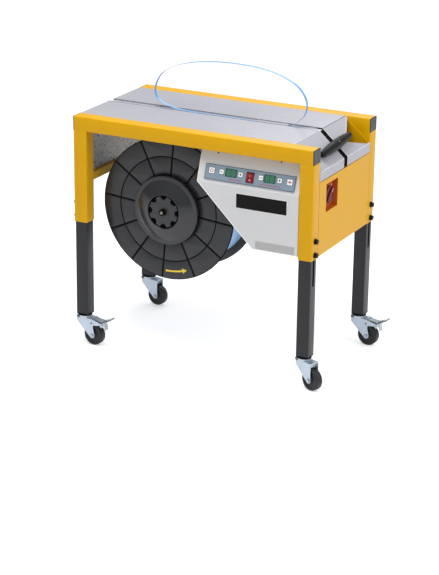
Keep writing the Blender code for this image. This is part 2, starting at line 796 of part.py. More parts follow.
def build_end_panel(machine):
    edge = INNER_Y - GAP
    low = SLEEVE_BOTTOM + PANEL_FOOT
    py, pz = POCKET_CENTRE
    wide, tall = POCKET[0] / 2, POCKET[1] / 2
    back = HALF_LENGTH - POCKET_DEPTH
    panel = machine.piece(
        "end_panel",
        block((HALF_LENGTH - SHEET, HALF_LENGTH), (-edge, edge), (low, PANEL_TOP)),
        YELLOW,
    )
    machine.join(
        panel,
        block(
            (back - SHEET, HALF_LENGTH - SHEET / 2),
            (py - wide - SHEET, py + wide + SHEET),
            (pz - tall - SHEET, min(pz + tall + SHEET, PANEL_TOP - 0.0005)),
        ),
    )
    machine.cut(
        panel,
        block((back, LENGTH), (py - wide, py + wide), (pz - tall, pz + tall)),
        block(
            (0, back + 0.001),
            (py - SWITCH_BLOCK / 2 - BOLT_SLACK, py + SWITCH_BLOCK / 2 + BOLT_SLACK),
            (pz - SWITCH_BLOCK / 2 - BOLT_SLACK, pz + SWITCH_BLOCK / 2 + BOLT_SLACK),
        ),
    )
    under = SHEET / math.cos(SLOPE) + 0.001
    clear_x = HALF_LENGTH - SHEET - 0.0012
    start = HALF_LENGTH - FLANGE_LENGTH
    flange = [
        (HALF_LENGTH - SHEET / 2, FLANGE_BOTTOM),
        (HALF_LENGTH - SHEET / 2, PANEL_TOP - 0.001),
        (clear_x, PANEL_TOP - 0.001),
        (clear_x, slope_z(clear_x) - under),
        (start, slope_z(start) - under),
        (start, FLANGE_BOTTOM),
    ]
    machine.join(panel, plate(flange, "Y", edge - SHEET, edge))


def build_main_switch(machine):
    """Rotary main switch: plate and contact block fixed in the pocket, and the dial that turns."""
    py, pz = POCKET_CENTRE
    back = HALF_LENGTH - POCKET_DEPTH
    half, inner = SWITCH_PLATE / 2, SWITCH_BLOCK / 2
    front = back + GAP + SWITCH_PLATE_THICK
    body = machine.piece(
        "main_switch_body",
        block((back + GAP, front), (py - half, py + half), (pz - half, pz + half)),
        SWITCH_YELLOW,
    )
    machine.join(
        body,
        block(
            (back - 0.045, back + GAP + 0.002),
            (py - inner, py + inner),
            (pz - inner, pz + inner),
        ),
    )
    shaft, depth = 0.006, 0.004
    machine.cut(body, rod(shaft + RUNNING_GAP, (front - depth, py, pz), (LENGTH, py, pz), 24))
    dial = machine.piece(
        "main_switch_dial",
        rod(SWITCH_DIAL_RADIUS, (GAP, 0, 0), (SWITCH_DIAL, 0, 0), 32),
        RED_PLASTIC,
        location=(front, py, pz),
        rotation=(math.radians(-SWITCH_REST), 0, 0),
    )
    proud, wide, tall = SWITCH_BAR
    machine.join(
        dial,
        rod(shaft, (-depth + GAP, 0, 0), (0.004, 0, 0), 24),
        block((0.004, proud), (-wide / 2, wide / 2), (-tall / 2, tall / 2)),
    )


def build_left_end(machine):
    edge = INNER_Y - GAP
    x = -LEG_X
    half = END_RAIL / 2
    top = END_RAIL_BOTTOM + END_RAIL
    rail = machine.piece(
        "left_cross_rail",
        block((x - half, x + half), (-edge, edge), (END_RAIL_BOTTOM, top)),
        YELLOW,
    )
    bore = half - TUBE_WALL
    middle = END_RAIL_BOTTOM + half
    machine.cut(rail, block((x - bore, x + bore), (-LENGTH, LENGTH), (middle - bore, middle + bore)))
    machine.piece(
        "left_end_panel",
        block(
            (x - SHEET / 2, x + SHEET / 2),
            (-edge, edge),
            (top + GAP, TABLE_FACE - SHEET - CHANNEL_DEPTH - GAP),
        ),
        GALVANISED,
    )


def cover_section(inset):
    """Section of the front cover in y and z, inset from its outer faces."""
    front = -HALF_WIDTH + inset
    back = -HALF_WIDTH + COVER_DEPTH
    tilt = math.atan2(COVER_TILT_DEPTH, RAIL_BOTTOM - COVER_FOLD)
    top = RAIL_BOTTOM - GAP - inset
    fold = COVER_FOLD - inset * math.tan(tilt / 2)
    top_y = front + (top - fold) * math.tan(tilt)
    if inset:
        back += 0.01
    return [(front, COVER_BOTTOM + inset), (back, COVER_BOTTOM + inset), (back, top),
            (top_y, top), (front, fold)]


def slant_cutter(shift, y_low, y_high):
    """Everything below and left of the cover's slanted edge, moved inwards by shift."""
    run = COVER_SLANT_END - COVER_LEFT
    rise = COVER_FOLD - COVER_BOTTOM
    length = math.hypot(run, rise)
    du, dv = shift * rise / length, shift * run / length
    top = (COVER_LEFT + du - run, COVER_FOLD + dv + rise)
    bottom = (COVER_SLANT_END + du + run, COVER_BOTTOM + dv - rise)
    corner = (COVER_LEFT - LENGTH, COVER_BOTTOM - LENGTH)
    return plate([top, (corner[0], top[1]), corner, (bottom[0], corner[1]), bottom], "Y",
                 y_low, y_high)


def build_front_cover(machine):
    right = INNER_X - GAP
    cover = machine.piece(
        "front_cover", plate(cover_section(0.0), "X", COVER_LEFT, right), LIGHT_COVER
    )
    machine.cut(cover, slant_cutter(0.0, -WIDTH, 0))
    hollow = machine.tool(
        cover,
        plate(cover_section(SHEET), "X", COVER_LEFT + SHEET, right - SHEET),
        "DIFFERENCE",
    )
    machine.cut(hollow, slant_cutter(SHEET, -WIDTH, 0))
    return cover


def build_cabinet_shell(machine):
    """Rear wall of the cabinet with the folded tray that closes it below the mechanism."""
    right = INNER_X - GAP
    wall_y = HALF_WIDTH - 0.003
    top = RAIL_BOTTOM - GAP
    outline = [
        (COVER_LEFT, top),
        (COVER_LEFT, COVER_FOLD),
        (COVER_SLANT_END, COVER_BOTTOM),
        (right, COVER_BOTTOM),
        (right, top),
    ]
    shell = machine.piece(
        "cabinet_shell", plate(outline, "Y", wall_y - SHEET, wall_y), LIGHT_COVER
    )
    run = COVER_SLANT_END - COVER_LEFT
    rise = COVER_FOLD - COVER_BOTTOM
    length = math.hypot(run, rise)
    nx, nz = rise / length, run / length
    left = COVER_LEFT + SHEET
    floor = COVER_BOTTOM + SHEET
    upper = (left, min(REEL_Z + (TRAY_OFFSET - nx * (left - REEL_X)) / nz, top - 0.004))
    lower = (REEL_X + (TRAY_OFFSET - nz * (floor - REEL_Z)) / nx, floor)
    tray = [(left, top - 0.002), upper, lower, (right - 0.001, floor)]
    front = -HALF_WIDTH + COVER_DEPTH + GAP
    machine.join(shell, bent_sheet(tray, SHEET, "Y", front, wall_y - SHEET / 2))
    wide, deep, tall = TRAY_OPENING
    machine.cut(
        shell,
        block((COVER_LEFT - 0.01, COVER_LEFT + wide), (-deep, deep), (top - tall, top + 0.01)),
    )


def build_controls(machine):
    """Control strip with its housing, six push keys and a rocker, built in the tilted face."""
    tilt = math.atan2(COVER_TILT_DEPTH, RAIL_BOTTOM - COVER_FOLD)
    wide, tall, thick = STRIP
    place = machine.empty(
        "control_frame",
        (
            INNER_X - GAP - STRIP_RIGHT - wide / 2,
            -HALF_WIDTH + STRIP_UP * math.sin(tilt),
            COVER_FOLD + STRIP_UP * math.cos(tilt),
        ),
        machine.base,
        rotation=(math.pi / 2 - tilt, 0, 0),
    )
    strip = machine.piece(
        "control_panel",
        block((-wide / 2, wide / 2), (-tall / 2, tall / 2), (GAP, GAP + thick)),
        PANEL_BLUE,
        parent=place,
    )
    box_wide, box_tall, box_deep = STRIP_BOX
    machine.join(
        strip,
        block(
            (-box_wide / 2, box_wide / 2),
            (-box_tall / 2, box_tall / 2),
            (-box_deep, GAP + thick / 2),
        ),
    )
    face = GAP + thick
    for name, (x, size) in KEYS.items():
        half = size / 2
        pocket = half + GAP
        machine.cut(
            strip,
            block(
                (x - pocket, x + pocket),
                (KEY_UP - pocket, KEY_UP + pocket),
                (face + KEY_PROUD - KEY_HEIGHT - KEY_TRAVEL - GAP, face + thick),
            ),
        )
        machine.piece(
            name,
            block((-half, half), (-half, half), (-KEY_HEIGHT, 0)),
            WHITE_KEY,
            location=(x, KEY_UP, face + KEY_PROUD),
            parent=place,
        )
    build_rocker(machine, place, strip, face)
    opening = block(
        (-box_wide / 2 - GAP, box_wide / 2 + GAP),
        (-box_tall / 2 - GAP, box_tall / 2 + GAP),
        (-box_deep, thick),
    )
    return place, opening


def build_rocker(machine, place, strip, face):
    x, y = ROCKER_CENTRE
    half_wide, half_tall = ROCKER[0] / 2, ROCKER[1] / 2
    swing = half_tall + 0.0009
    machine.cut(
        strip,
        block(
            (x - half_wide - GAP, x + half_wide + GAP),
            (y - swing, y + swing),
            (face - ROCKER_POCKET, face + 0.01),
        ),
    )
    crest = ROCKER_PIVOT + 0.0035
    outline = [
        (-half_tall + 0.0005, crest),
        (0, crest - 0.002),
        (half_tall - 0.0005, crest),
        (half_tall, 0.002),
        (half_tall - 0.0025, -0.0045),
        (0, -0.0075),
        (-half_tall + 0.0025, -0.0045),
        (-half_tall, 0.002),
    ]
    machine.piece(
        "power_rocker",
        plate(outline, "X", -half_wide, half_wide),
        RED_PLASTIC,
        location=(x, y, face - ROCKER_PIVOT),
        rotation=(math.radians(ROCKER_TILT), 0, 0),
        parent=place,
    )


def nut_outline():
    """Round nut with a scallop between each two lobes."""
    points = []
    per_lobe = 6
    for k in range(NUT_LOBES * per_lobe):
        angle = 2 * math.pi * k / (NUT_LOBES * per_lobe)
        dip = (1.0, 0.55, 0.0, 0.0, 0.0, 0.55)[k % per_lobe]
        radius = NUT_RADIUS - NUT_DIP * dip
        points.append((radius * math.cos(angle), radius * math.sin(angle)))
    return points


def build_reel(machine):
    """Strap reel: local z runs forwards from the face of the front flange."""
    axis = machine.empty(
        "reel_axis", (REEL_X, REEL_FRONT, REEL_Z), machine.base, rotation=(math.pi / 2, 0, 0)
    )
    bore = SPINDLE_RADIUS + RUNNING_GAP
    wall = FLANGE_SHEET
    web = HUB_NOSE - 0.010
    front = [
        (FLANGE_RADIUS, 0.0),
        (HUB_RADIUS, 0.0),
        (HUB_RADIUS, HUB_LIP - 0.002),
        (HUB_RADIUS - 0.002, HUB_LIP),
        (HUB_RADIUS - 0.0155, HUB_LIP + 0.001),
        (WELL_RADIUS + 0.004, HUB_NOSE),
        (WELL_RADIUS, HUB_NOSE),
        (WELL_RADIUS, web),
        (bore, web),
        (bore, web - wall),
        (WELL_RADIUS + wall - 0.002, web - wall),
        (HUB_RADIUS - 0.0185, HUB_LIP - wall + 0.001),
        (HUB_RADIUS - wall, HUB_LIP - wall),
        (HUB_RADIUS - wall, -wall),
        (FLANGE_RADIUS, -wall),
    ]
    machine.piece("reel_front_flange", turned(front, 48), BLACK_PLASTIC, parent=axis)
    rear_z = -REEL_WIDTH
    core = CORE_RADIUS
    rear = [
        (FLANGE_RADIUS, rear_z),
        (core, rear_z),
        (core, -wall - GAP),
        (core - CORE_WALL, -wall - GAP),
        (core - CORE_WALL, rear_z),
        (bore + 0.010, rear_z),
        (bore + 0.010, rear_z + 0.040),
        (bore, rear_z + 0.040),
        (bore, rear_z - wall),
        (FLANGE_RADIUS, rear_z - wall),
    ]
    machine.piece("reel_rear_flange", turned(rear, 48), BLACK_PLASTIC, parent=axis)
    coil = [
        (COIL_RADIUS, -wall - GAP),
        (core + GAP, -wall - GAP),
        (core + GAP, rear_z + GAP),
        (COIL_RADIUS, rear_z + GAP),
    ]
    machine.piece("strap_coil", turned(coil, 48), STRAP_BLUE, parent=axis)
    nut = machine.piece(
        "reel_nut",
        plate(nut_outline(), "Z", web + GAP, web + GAP + NUT_THICK),
        BLACK_PLASTIC,
        parent=axis,
    )
    nut_top = web + GAP + NUT_THICK
    machine.join(nut, rod(0.019, (0, 0, nut_top - 0.002), (0, 0, nut_top + 0.004), 24))
    machine.cut(nut, rod(bore, (0, 0, 0), (0, 0, 0.1), 20))
    return axis


def build_spindle(machine, axis):
    """Spindle of the reel, welded to a bracket under the rear rail."""
    back = REEL_FRONT - BRACKET_Y  # local z of the bracket's front face
    spindle = machine.piece(
        "reel_spindle",
        rod(SPINDLE_RADIUS, (0, 0, back - 0.001), (0, 0, SPINDLE_NOSE), 20),
        STEEL,
        parent=axis,
    )
    lever_back = -REEL_WIDTH - FLANGE_SHEET - LEVER_BEHIND - LEVER_THICK
    top = RAIL_BOTTOM - GAP - REEL_Z
    half = BRACKET_WIDTH / 2
    machine.join(
        spindle,
        rod(COLLAR_RADIUS, (0, 0, -REEL_WIDTH - FLANGE_SHEET - GAP),
            (0, 0, lever_back + LEVER_THICK + GAP), 20),
        rod(COLLAR_RADIUS, (0, 0, back - 0.001), (0, 0, lever_back - GAP), 20),
        block((-half, half), (-0.035, top), (back - BRACKET_THICK, back)),
        block((-half, half), (top - 0.005, top), (REEL_FRONT - HALF_WIDTH + 0.004, back)),
    )


def build_brake_lever(machine, axis):
    """Lever on the reel's spindle; the strap runs past its pin and lifts it."""
    bore = SPINDLE_RADIUS + RUNNING_GAP
    front = -REEL_WIDTH - FLANGE_SHEET - LEVER_BEHIND
    low = front - LEVER_THICK
    pin_x = STRAP_X + STRAP_THICK / 2 + STRAP_NIP_GAP + LEVER_PIN_RADIUS - REEL_X
    pin = Vector((pin_x, LEVER_PIN_Z - REEL_Z))
    angle = math.degrees(math.atan2(pin.y, pin.x))
    outline = [
        *arc((0, 0), LEVER_WIDTH, angle + 40, angle + 320, 13),
        *arc(pin, LEVER_WIDTH / 2 - 0.002, angle - 90, angle + 90, 7),
    ]
    lever = machine.piece(
        "reel_brake_lever", plate(outline, "Z", low, front), STEEL, parent=axis
    )
    machine.cut(lever, rod(bore, (0, 0, low - 0.01), (0, 0, front + 0.01), 20))
    pin_front = REEL_FRONT * -1 + STRAP_WIDTH / 2 + 0.006
    machine.join(
        lever, rod(LEVER_PIN_RADIUS, (pin.x, pin.y, low + 0.001), (pin.x, pin.y, -pin_front + 0.024), 16)
    )


def build_strap(machine):
    half = STRAP_WIDTH / 2
    thick = STRAP_THICK / 2
    x = STRAP_X
    machine.piece(
        "strap_feed_run",
        block(
            (x - thick, x + thick), (-half, half), (REEL_Z + 0.004, HEAD_BODY_Z[0] - GAP)
        ),
        STRAP_BLUE,
    )
    loop = smooth_path([(x, TABLE_FACE + z) for x, z in LOOP_POINTS], 2)
    machine.piece(
        "strap_loop",
        bent_sheet(offset_path(loop, -thick), STRAP_THICK, "Y", -half, half),
        STRAP_BLUE,
    )


def build_head(machine):
    """Sealing head between the rails, with pins for the rollers and ears for the cam shaft."""
    plate_y = BACK_PLATE_Y
    feed_x = STRAP_X - STRAP_THICK / 2 - STRAP_NIP_GAP - FEED_RADIUS
    press_x = STRAP_X + STRAP_THICK / 2 + STRAP_NIP_GAP + PRESS_RADIUS
    head = machine.piece(
        "sealing_head",
        block(HEAD_BODY_X, (-HEAD_HALF, HEAD_HALF), HEAD_BODY_Z),
        CAST,
    )
    edge = INNER_Y - GAP
    anvil = SLOT / 2 - 0.0008
    back = [
        (feed_x - 0.016, ROLLER_Z - 0.016),
        (EAR_X[0] - 0.004, ROLLER_Z - 0.016),
        (EAR_X[0] - 0.004, CAM_Z - 0.030),
        (GEARBOX_X[1] - 0.002, CAM_Z - 0.030),
        (GEARBOX_X[1] - 0.002, HEAD_BODY_Z[1] - 0.002),
        (feed_x - 0.016, HEAD_BODY_Z[1] - 0.002),
    ]
    machine.join(
        head,
        block(HEAD_X, (-anvil, anvil), (HEAD_BODY_Z[1] - 0.001, TABLE_HEIGHT - ANVIL_TOP_DROP)),
        block(BEAM_X, (-edge, edge), BEAM_Z),
        plate(back, "Y", *plate_y),
    )
    for ear in EAR_X:
        machine.join(
            head,
            block(
                (ear, ear + EAR_THICK), (-0.014, plate_y[0] + 0.001), (CAM_Z - 0.014, CAM_Z + 0.014)
            ),
        )
    hole = CAM_SHAFT_RADIUS + RUNNING_GAP
    machine.cut(
        head, rod(hole, (EAR_X[0] - 0.01, 0, CAM_Z), (EAR_X[1] + EAR_THICK + 0.005, 0, CAM_Z), 20)
    )
    for centre in (feed_x, press_x):
        machine.join(
            head,
            rod(ROLLER_PIN, (centre, -ROLLER_HALF - 0.002, ROLLER_Z),
                (centre, plate_y[0] + 0.001, ROLLER_Z), 12),
        )
    for name, centre, radius in (
        ("feed_roller", feed_x, FEED_RADIUS),
        ("press_roller", press_x, PRESS_RADIUS),
    ):
        bore = ROLLER_PIN + RUNNING_GAP
        profile = [
            (radius, ROLLER_HALF),
            (bore, ROLLER_HALF),
            (bore, -ROLLER_HALF),
            (radius, -ROLLER_HALF),
        ]
        machine.piece(
            name,
            turned(profile, 32),
            RUBBER,
            location=(centre, 0, ROLLER_Z),
            rotation=(math.pi / 2, 0, 0),
        )


def cam_outline(lobe_angle):
    """Round cam with one raised lobe."""
    points = []
    for k in range(24):
        angle = 2 * math.pi * k / 24
        off = abs((angle - math.radians(lobe_angle) + math.pi) % (2 * math.pi) - math.pi)
        lift = CAM_LIFT * (0.5 + 0.5 * math.cos(min(off * 2.4, math.pi)))
        radius = CAM_RADIUS - CAM_LIFT + lift
        points.append((radius * math.cos(angle), radius * math.sin(angle)))
    return points


def build_drive(machine):
    """Cam shaft that lifts the grippers, and the gear motor that turns it."""
    shaft_end = GEARBOX_X[0] - GAP
    shaft = machine.piece(
        "cam_shaft",
        rod(CAM_SHAFT_RADIUS, (EAR_X[0] - 0.005, 0, 0), (shaft_end, 0, 0), 20),
        STEEL,
        location=(0, 0, CAM_Z),
    )
    first = EAR_X[0] + EAR_THICK + 0.010
    room = EAR_X[1] - 0.010 - first - CAM_WIDTH
    for k in range(CAM_COUNT):
        low = first + room * k / (CAM_COUNT - 1)
        machine.join(shaft, plate(cam_outline(90 + 70 * k), "X", low, low + CAM_WIDTH))
    side = BACK_PLATE_Y[0] - GAP
    motor = machine.piece(
        "gear_motor",
        block(GEARBOX_X, (-MOTOR_RADIUS, side), (CAM_Z - MOTOR_RADIUS, CAM_Z + MOTOR_RADIUS)),
        CAST,
    )
    machine.join(
        motor, rod(MOTOR_RADIUS, (GEARBOX_X[1] - 0.001, 0, CAM_Z), (MOTOR_END, 0, CAM_Z), 32)
    )


def centre_on_floor(machine):
    """Moves the machine so that the middle of its footprint is at the origin."""
    graph = bpy.context.evaluated_depsgraph_get()
    corners = []
    for obj in machine.parts.objects:
        if obj.type == "MESH" and obj.name != "strap_loop":
            seen = obj.evaluated_get(graph)
            corners += [seen.matrix_world @ Vector(corner) for corner in seen.bound_box]
    low = [min(corner[axis] for corner in corners) for axis in (0, 1, 2)]
    high = [max(corner[axis] for corner in corners) for axis in (0, 1)]
    machine.base.location = (-(low[0] + high[0]) / 2, -(low[1] + high[1]) / 2, -low[2])


def main():
    clear_scene()
    machine = Machine()
    build_frame(machine)
    for side in SIDES:
        for end in ENDS:
            build_sleeve(machine, side, end)
            build_clamp(machine, side, end)
            leg = build_leg(machine, side, end)
            build_caster(machine, side, end, leg)
    build_table(machine)
    build_grip(machine)
    build_end_panel(machine)
    build_main_switch(machine)
    build_left_end(machine)
    cover = build_front_cover(machine)
    build_cabinet_shell(machine)
    place, opening = build_controls(machine)
    bpy.context.view_layer.update()
    opening.transform(place.matrix_world)
    machine.cut(cover, opening)
    axis = build_reel(machine)
    build_spindle(machine, axis)
    build_brake_lever(machine, axis)
    build_strap(machine)
    build_head(machine)
    build_drive(machine)
    bpy.context.view_layer.update()
    centre_on_floor(machine)


main()
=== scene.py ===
# %% [markdown]
# # Semi-automatic strapping machine
# A strapping machine that stands on four casters: a table on a yellow tube frame, a reel of
# plastic strap under it and a cover with the controls. The CAD frame gives every size and
# position. These cells add what CAD leaves out, which is rounded edges, finishes, printed
# signs, screws and a soft studio. Everything is built round the frame and nothing in it is
# moved, so that looks and mechanics always agree.

import json
import math

import bmesh
import bpy
from mathutils import Matrix, Vector


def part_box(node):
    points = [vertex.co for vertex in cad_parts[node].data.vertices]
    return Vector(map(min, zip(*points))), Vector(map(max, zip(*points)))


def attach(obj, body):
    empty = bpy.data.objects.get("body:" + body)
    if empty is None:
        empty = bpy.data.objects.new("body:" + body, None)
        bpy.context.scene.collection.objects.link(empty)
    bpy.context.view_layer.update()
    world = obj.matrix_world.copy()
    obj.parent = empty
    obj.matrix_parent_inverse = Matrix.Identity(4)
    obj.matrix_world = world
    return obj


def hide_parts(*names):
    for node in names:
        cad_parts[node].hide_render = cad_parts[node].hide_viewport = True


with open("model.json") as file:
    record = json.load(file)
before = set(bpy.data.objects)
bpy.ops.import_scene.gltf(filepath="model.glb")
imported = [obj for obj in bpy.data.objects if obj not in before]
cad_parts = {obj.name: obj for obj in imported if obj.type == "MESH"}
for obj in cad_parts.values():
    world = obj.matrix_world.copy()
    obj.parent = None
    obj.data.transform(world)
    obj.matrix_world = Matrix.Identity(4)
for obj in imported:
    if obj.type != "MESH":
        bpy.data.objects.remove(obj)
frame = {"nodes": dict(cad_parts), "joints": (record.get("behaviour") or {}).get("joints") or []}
NODES = frame["nodes"]
JOINTS = {joint["name"]: joint for joint in frame["joints"]}


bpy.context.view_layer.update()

# %% [markdown]
# ## Places
# The machine is laid out from the middle of its rails, as a fitter would measure it. The CAD
# frame has its origin in the middle of the whole footprint, brake pedals included. Rather
# than shift the frame, `at` turns a place on the machine into a place in the frame.

# %% Places
LENGTH, WIDTH, TUBE = 0.890, 0.510, 0.050
HALF_LENGTH, HALF_WIDTH = LENGTH / 2, WIDTH / 2
MIDDLE_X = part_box("front_right_rail_cap")[1].x - HALF_LENGTH
MIDDLE_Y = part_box("front_rail")[0].y + HALF_WIDTH
RAIL_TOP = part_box("front_rail")[1].z
RAIL_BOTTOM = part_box("front_rail")[0].z
SLEEVE_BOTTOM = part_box("front_left_sleeve")[0].z
TABLE_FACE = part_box("front_table_half")[1].z
# The middle of the reel, on the front face of its flange.
REEL = Vector((-0.122, -0.180, 0.5175))


def at(x, y, z):
    return Vector((x + MIDDLE_X, y + MIDDLE_Y, z))


print("rails from", round(RAIL_BOTTOM, 4), "to", round(RAIL_TOP, 4))

# %% [markdown]
# ## Camera
# A long lens from far off keeps the machine's edges nearly parallel, so its proportions can
# be read. A Track To constraint could aim the camera, but it can't give it a small roll. So
# the three axes are worked out: `back` points from the machine to the camera, `level` is
# horizontal, and the roll turns `level` a little.

# %% Camera
LENS = 120.6
ROLL = math.radians(0.7445)
camera = bpy.data.objects.new("camera", bpy.data.cameras.new("camera"))
bpy.context.scene.collection.objects.link(camera)
bpy.context.scene.camera = camera
camera.data.lens = LENS
camera.data.clip_end = 1000
back = Vector((0.4246, -0.8394, 0.3392)).normalized()
level = Vector((0, 0, 1)).cross(back).normalized()
above = back.cross(level)
right = level * math.cos(ROLL) + above * math.sin(ROLL)
up = back.cross(right)
camera_turn = Matrix((right, up, back)).transposed().to_4x4()
camera.matrix_world = Matrix.Translation(at(2.834, -5.631, 2.475)) @ camera_turn
print("camera at", [round(value, 3) for value in camera.matrix_world.translation])

# %% [markdown]
# ## Nodes and colours
# Every finish is a small net of shader nodes. Adding and linking nodes by hand takes many
# lines, so `node` adds one with its settings and links in a single call. Colours are written
# as sRGB hex, the way a paint chart gives them, and `linear` turns them into what a shader
# takes. `new_material` also hands out the object's own coordinates, which are in metres, so
# that a pattern keeps its real size on every piece.


# %% Nodes and colours
def linear(code):
    """A hex colour such as "DFA61E" as linear RGBA."""
    parts = [int(code[i : i + 2], 16) / 255 for i in (0, 2, 4)]
    return (*[p / 12.92 if p <= 0.04045 else ((p + 0.055) / 1.055) ** 2.4 for p in parts], 1.0)


def node(tree, kind, inputs=None, **settings):
    """A new shader node; inputs maps a socket's name or number to a value or to a socket."""
    made = tree.nodes.new("ShaderNode" + kind)
    for name, value in settings.items():
        setattr(made, name, value)
    for name, value in (inputs or {}).items():
        if isinstance(value, bpy.types.NodeSocket):
            tree.links.new(value, made.inputs[name])
        else:
            made.inputs[name].default_value = value
    return made


def new_material(name):
    """A material with its tree, its shader and the object's own coordinates in metres."""
    material = bpy.data.materials.new(name)
    material.use_nodes = True
    tree = material.node_tree
    place = node(tree, "TexCoord").outputs["Object"]
    return material, tree, tree.nodes["Principled BSDF"], place


print("middle grey is", round(linear("808080")[0], 3), "as linear light")

# %% [markdown]
# ## An even finish
# Paint and moulded plastic look even, but never quite: the colour and gloss drift over a
# hand's width, and the skin has a fine grain. A picture of paint could give that, yet it
# would repeat and blur close up. Noise has no edges and no end, so one wide noise drives
# colour and roughness, and one fine noise drives a bump a few hundredths of a millimetre
# deep. Grains under about a millimetre are too fine to show from the camera and are there for
# close views.


# %% An even finish
def shade(colour, factor):
    return (*[min(1.0, c * factor) for c in colour[:3]], 1.0)


def finish(name, code, roughness, grain_mm, depth_mm, vary=0.05, patch_mm=90, **values):
    """Colour that drifts a little over patch_mm, and a fine grain that is depth_mm deep."""
    material, tree, shader, place = new_material(name)
    colour = linear(code)
    scale = 1000 / patch_mm
    patches = node(tree, "TexNoise", {"Vector": place, "Scale": scale, "Detail": 3.0}).outputs[0]
    share = node(tree, "MapRange", {"Value": patches, 1: 0.3, 2: 0.7}).outputs[0]
    tints = {0: share, 6: shade(colour, 1 - vary), 7: shade(colour, 1 + vary)}
    tint = node(tree, "Mix", tints, data_type="RGBA").outputs[2]
    tree.links.new(tint, shader.inputs["Base Color"])
    levels = {"Value": share, 3: roughness * 0.85, 4: roughness * 1.15}
    tree.links.new(node(tree, "MapRange", levels).outputs[0], shader.inputs["Roughness"])
    grain = node(tree, "TexNoise", {"Vector": place, "Scale": 1000 / grain_mm}).outputs[0]
    bump = node(tree, "Bump", {"Height": grain, "Strength": 0.6, "Distance": depth_mm / 1000})
    tree.links.new(bump.outputs["Normal"], shader.inputs["Normal"])
    for socket, value in values.items():
        shader.inputs[socket.replace("_", " ")].default_value = value
    return material


# Powder enamel, baked on steel tube: an even, half-gloss yellow with a faint orange peel.
YELLOW = finish(
    "yellow_enamel", "DDA503", 0.40, 1.6, 0.02, 0.03, 160, Specular_IOR_Level=0.2
)
print("first finish has", len(YELLOW.node_tree.nodes), "nodes")

# %% [markdown]
# ## Enamels
# Legs, table and cover are steel sheet and tube with baked powder enamel. The powder melts
# into one smooth skin, so all of them share `finish` and differ in colour and gloss. Along a
# fold, a pale line of painted highlight stands for the light the fold catches, and a dark line
# of painted shade for the shade it lies in. Such a line is much thinner than the sheet, so it
# gets a material of its own and a thin rod to carry it.

# %% Enamels
# Black powder enamel on the legs: soft highlights along the corners.
BLACK_ENAMEL = finish(
    "black_enamel", "1F2024", 0.40, 1.2, 0.03, 0.10, 120, Specular_IOR_Level=0.35
)
# Grey hammer enamel: smooth, and the glossiest coating here, since parcels slide on it.
TABLE_GREY = finish("grey_hammer_enamel", "A9A9B0", 0.27, 1.4, 0.008, 0.012, 320)
# Light grey powder enamel on bent sheet: dry and very even.
COVER_GREY = finish("light_grey_enamel", "D4D4D4", 0.45, 1.0, 0.015, 0.02, 150)
# Painted highlight: a pale line along the outside of a fold, where the fold catches the light.
PAINTED_HIGHLIGHT = finish("painted_highlight_edge", "E4E4E8", 0.28, 1.0, 0.01, 0.05, 60)
# Painted shade: a thin dark line where two enamelled sheets meet or one dives into a slot.
PAINTED_SHADE_LINE = finish("painted_shade_line", "3A3A3E", 0.5, 1.0, 0.01, 0.05, 60)
# Matt black enamel of the strap channel, made nearly black also as painted shade, since light
# hardly comes that deep.
SLOT_BLACK_AND_SHADE = finish("black_slot_and_painted_shade", "0C0B0D", 0.6, 1.5, 0.03, Specular_IOR_Level=0.2)
print("enamels:", [made.name for made in (YELLOW, BLACK_ENAMEL, TABLE_GREY, COVER_GREY)])

# %% [markdown]
# ## Moulded plastics and rubber
# The reel, its nut, the plugs and the wheels are injection moulded. Moulded plastic is
# coloured right through, has no coat and takes its gloss from the mould, so a low specular
# level and a roughness from 0.2 for a polished mould to 0.5 for a dull one tell them apart.

# %% Moulded plastics and rubber
# Black polystyrene of the reel: half gloss, uneven over a panel where the melt cooled.
REEL_BLACK = finish(
    "reel_polystyrene", "292A2D", 0.32, 0.9, 0.02, 0.25, 170, Specular_IOR_Level=0.4
)
# The same polystyrene off the turned and polished core of the mould: sharper highlights.
HUB_BLACK = finish("polished_hub_polystyrene", "27282B", 0.20, 0.7, 0.006, 0.10, 60)
# Nearly black and without gloss: painted shade at the bottom of the reel's grooves and in its well,
# also used for the plug seams, the ball race seals and the spindle's ring.
BLACK_AND_PAINTED_SHADE = finish(
    "near_black_and_painted_shade", "060607", 0.7, 0.9, 0.02, Specular_IOR_Level=0.1
)
# Glass-filled nylon of the reel nut and the rocker's frame: satin dark grey.
PLASTIC = finish("black_nylon", "3A3B3E", 0.48, 0.5, 0.02, 0.06, 40, Specular_IOR_Level=0.35)
# Polyethylene of the tube plugs: waxy, with a wide dull sheen.
CAP_PLASTIC = finish("grey_cap_polyethylene", "36373B", 0.5, 0.7, 0.03, 0.05, 30)
# Soft rubber moulded over the grip: a dull black that swallows the light.
GRIP = finish("grip_rubber", "0E0F11", 0.45, 0.4, 0.03, 0.10, 30, Specular_IOR_Level=0.15)
# Moulded nylon of wheels and rollers: dark, with a satin skin from rolling.
TYRE = finish("caster_nylon", "232426", 0.50, 0.6, 0.04, 0.15, 25, Specular_IOR_Level=0.35)
# Polycarbonate of the rocker, off a polished mould: a clear, glossy red.
RED = finish(
    "red_polycarbonate", "8A0912", 0.22, 0.5, 0.01, 0.05, 20, Specular_IOR_Level=0.3
)
# The main switch's dial in a deeper, duller red plastic.
DARK_RED = finish(
    "dark_red_dial", "64090D", 0.38, 0.5, 0.02, 0.08, 20, Specular_IOR_Level=0.2
)
# Orange of the switch plate and of the pocket's walls and back: the shade of the yellow pocket,
# painted in darker and redder. It sets the red dial off from the yellow.
PAINTED_SHADE_ORANGE = finish("pocket_painted_shade_orange", "BE5A1A", 0.42, 0.6, 0.02, 0.05, 30)
print(len(bpy.data.materials), "materials so far, with those of the CAD")

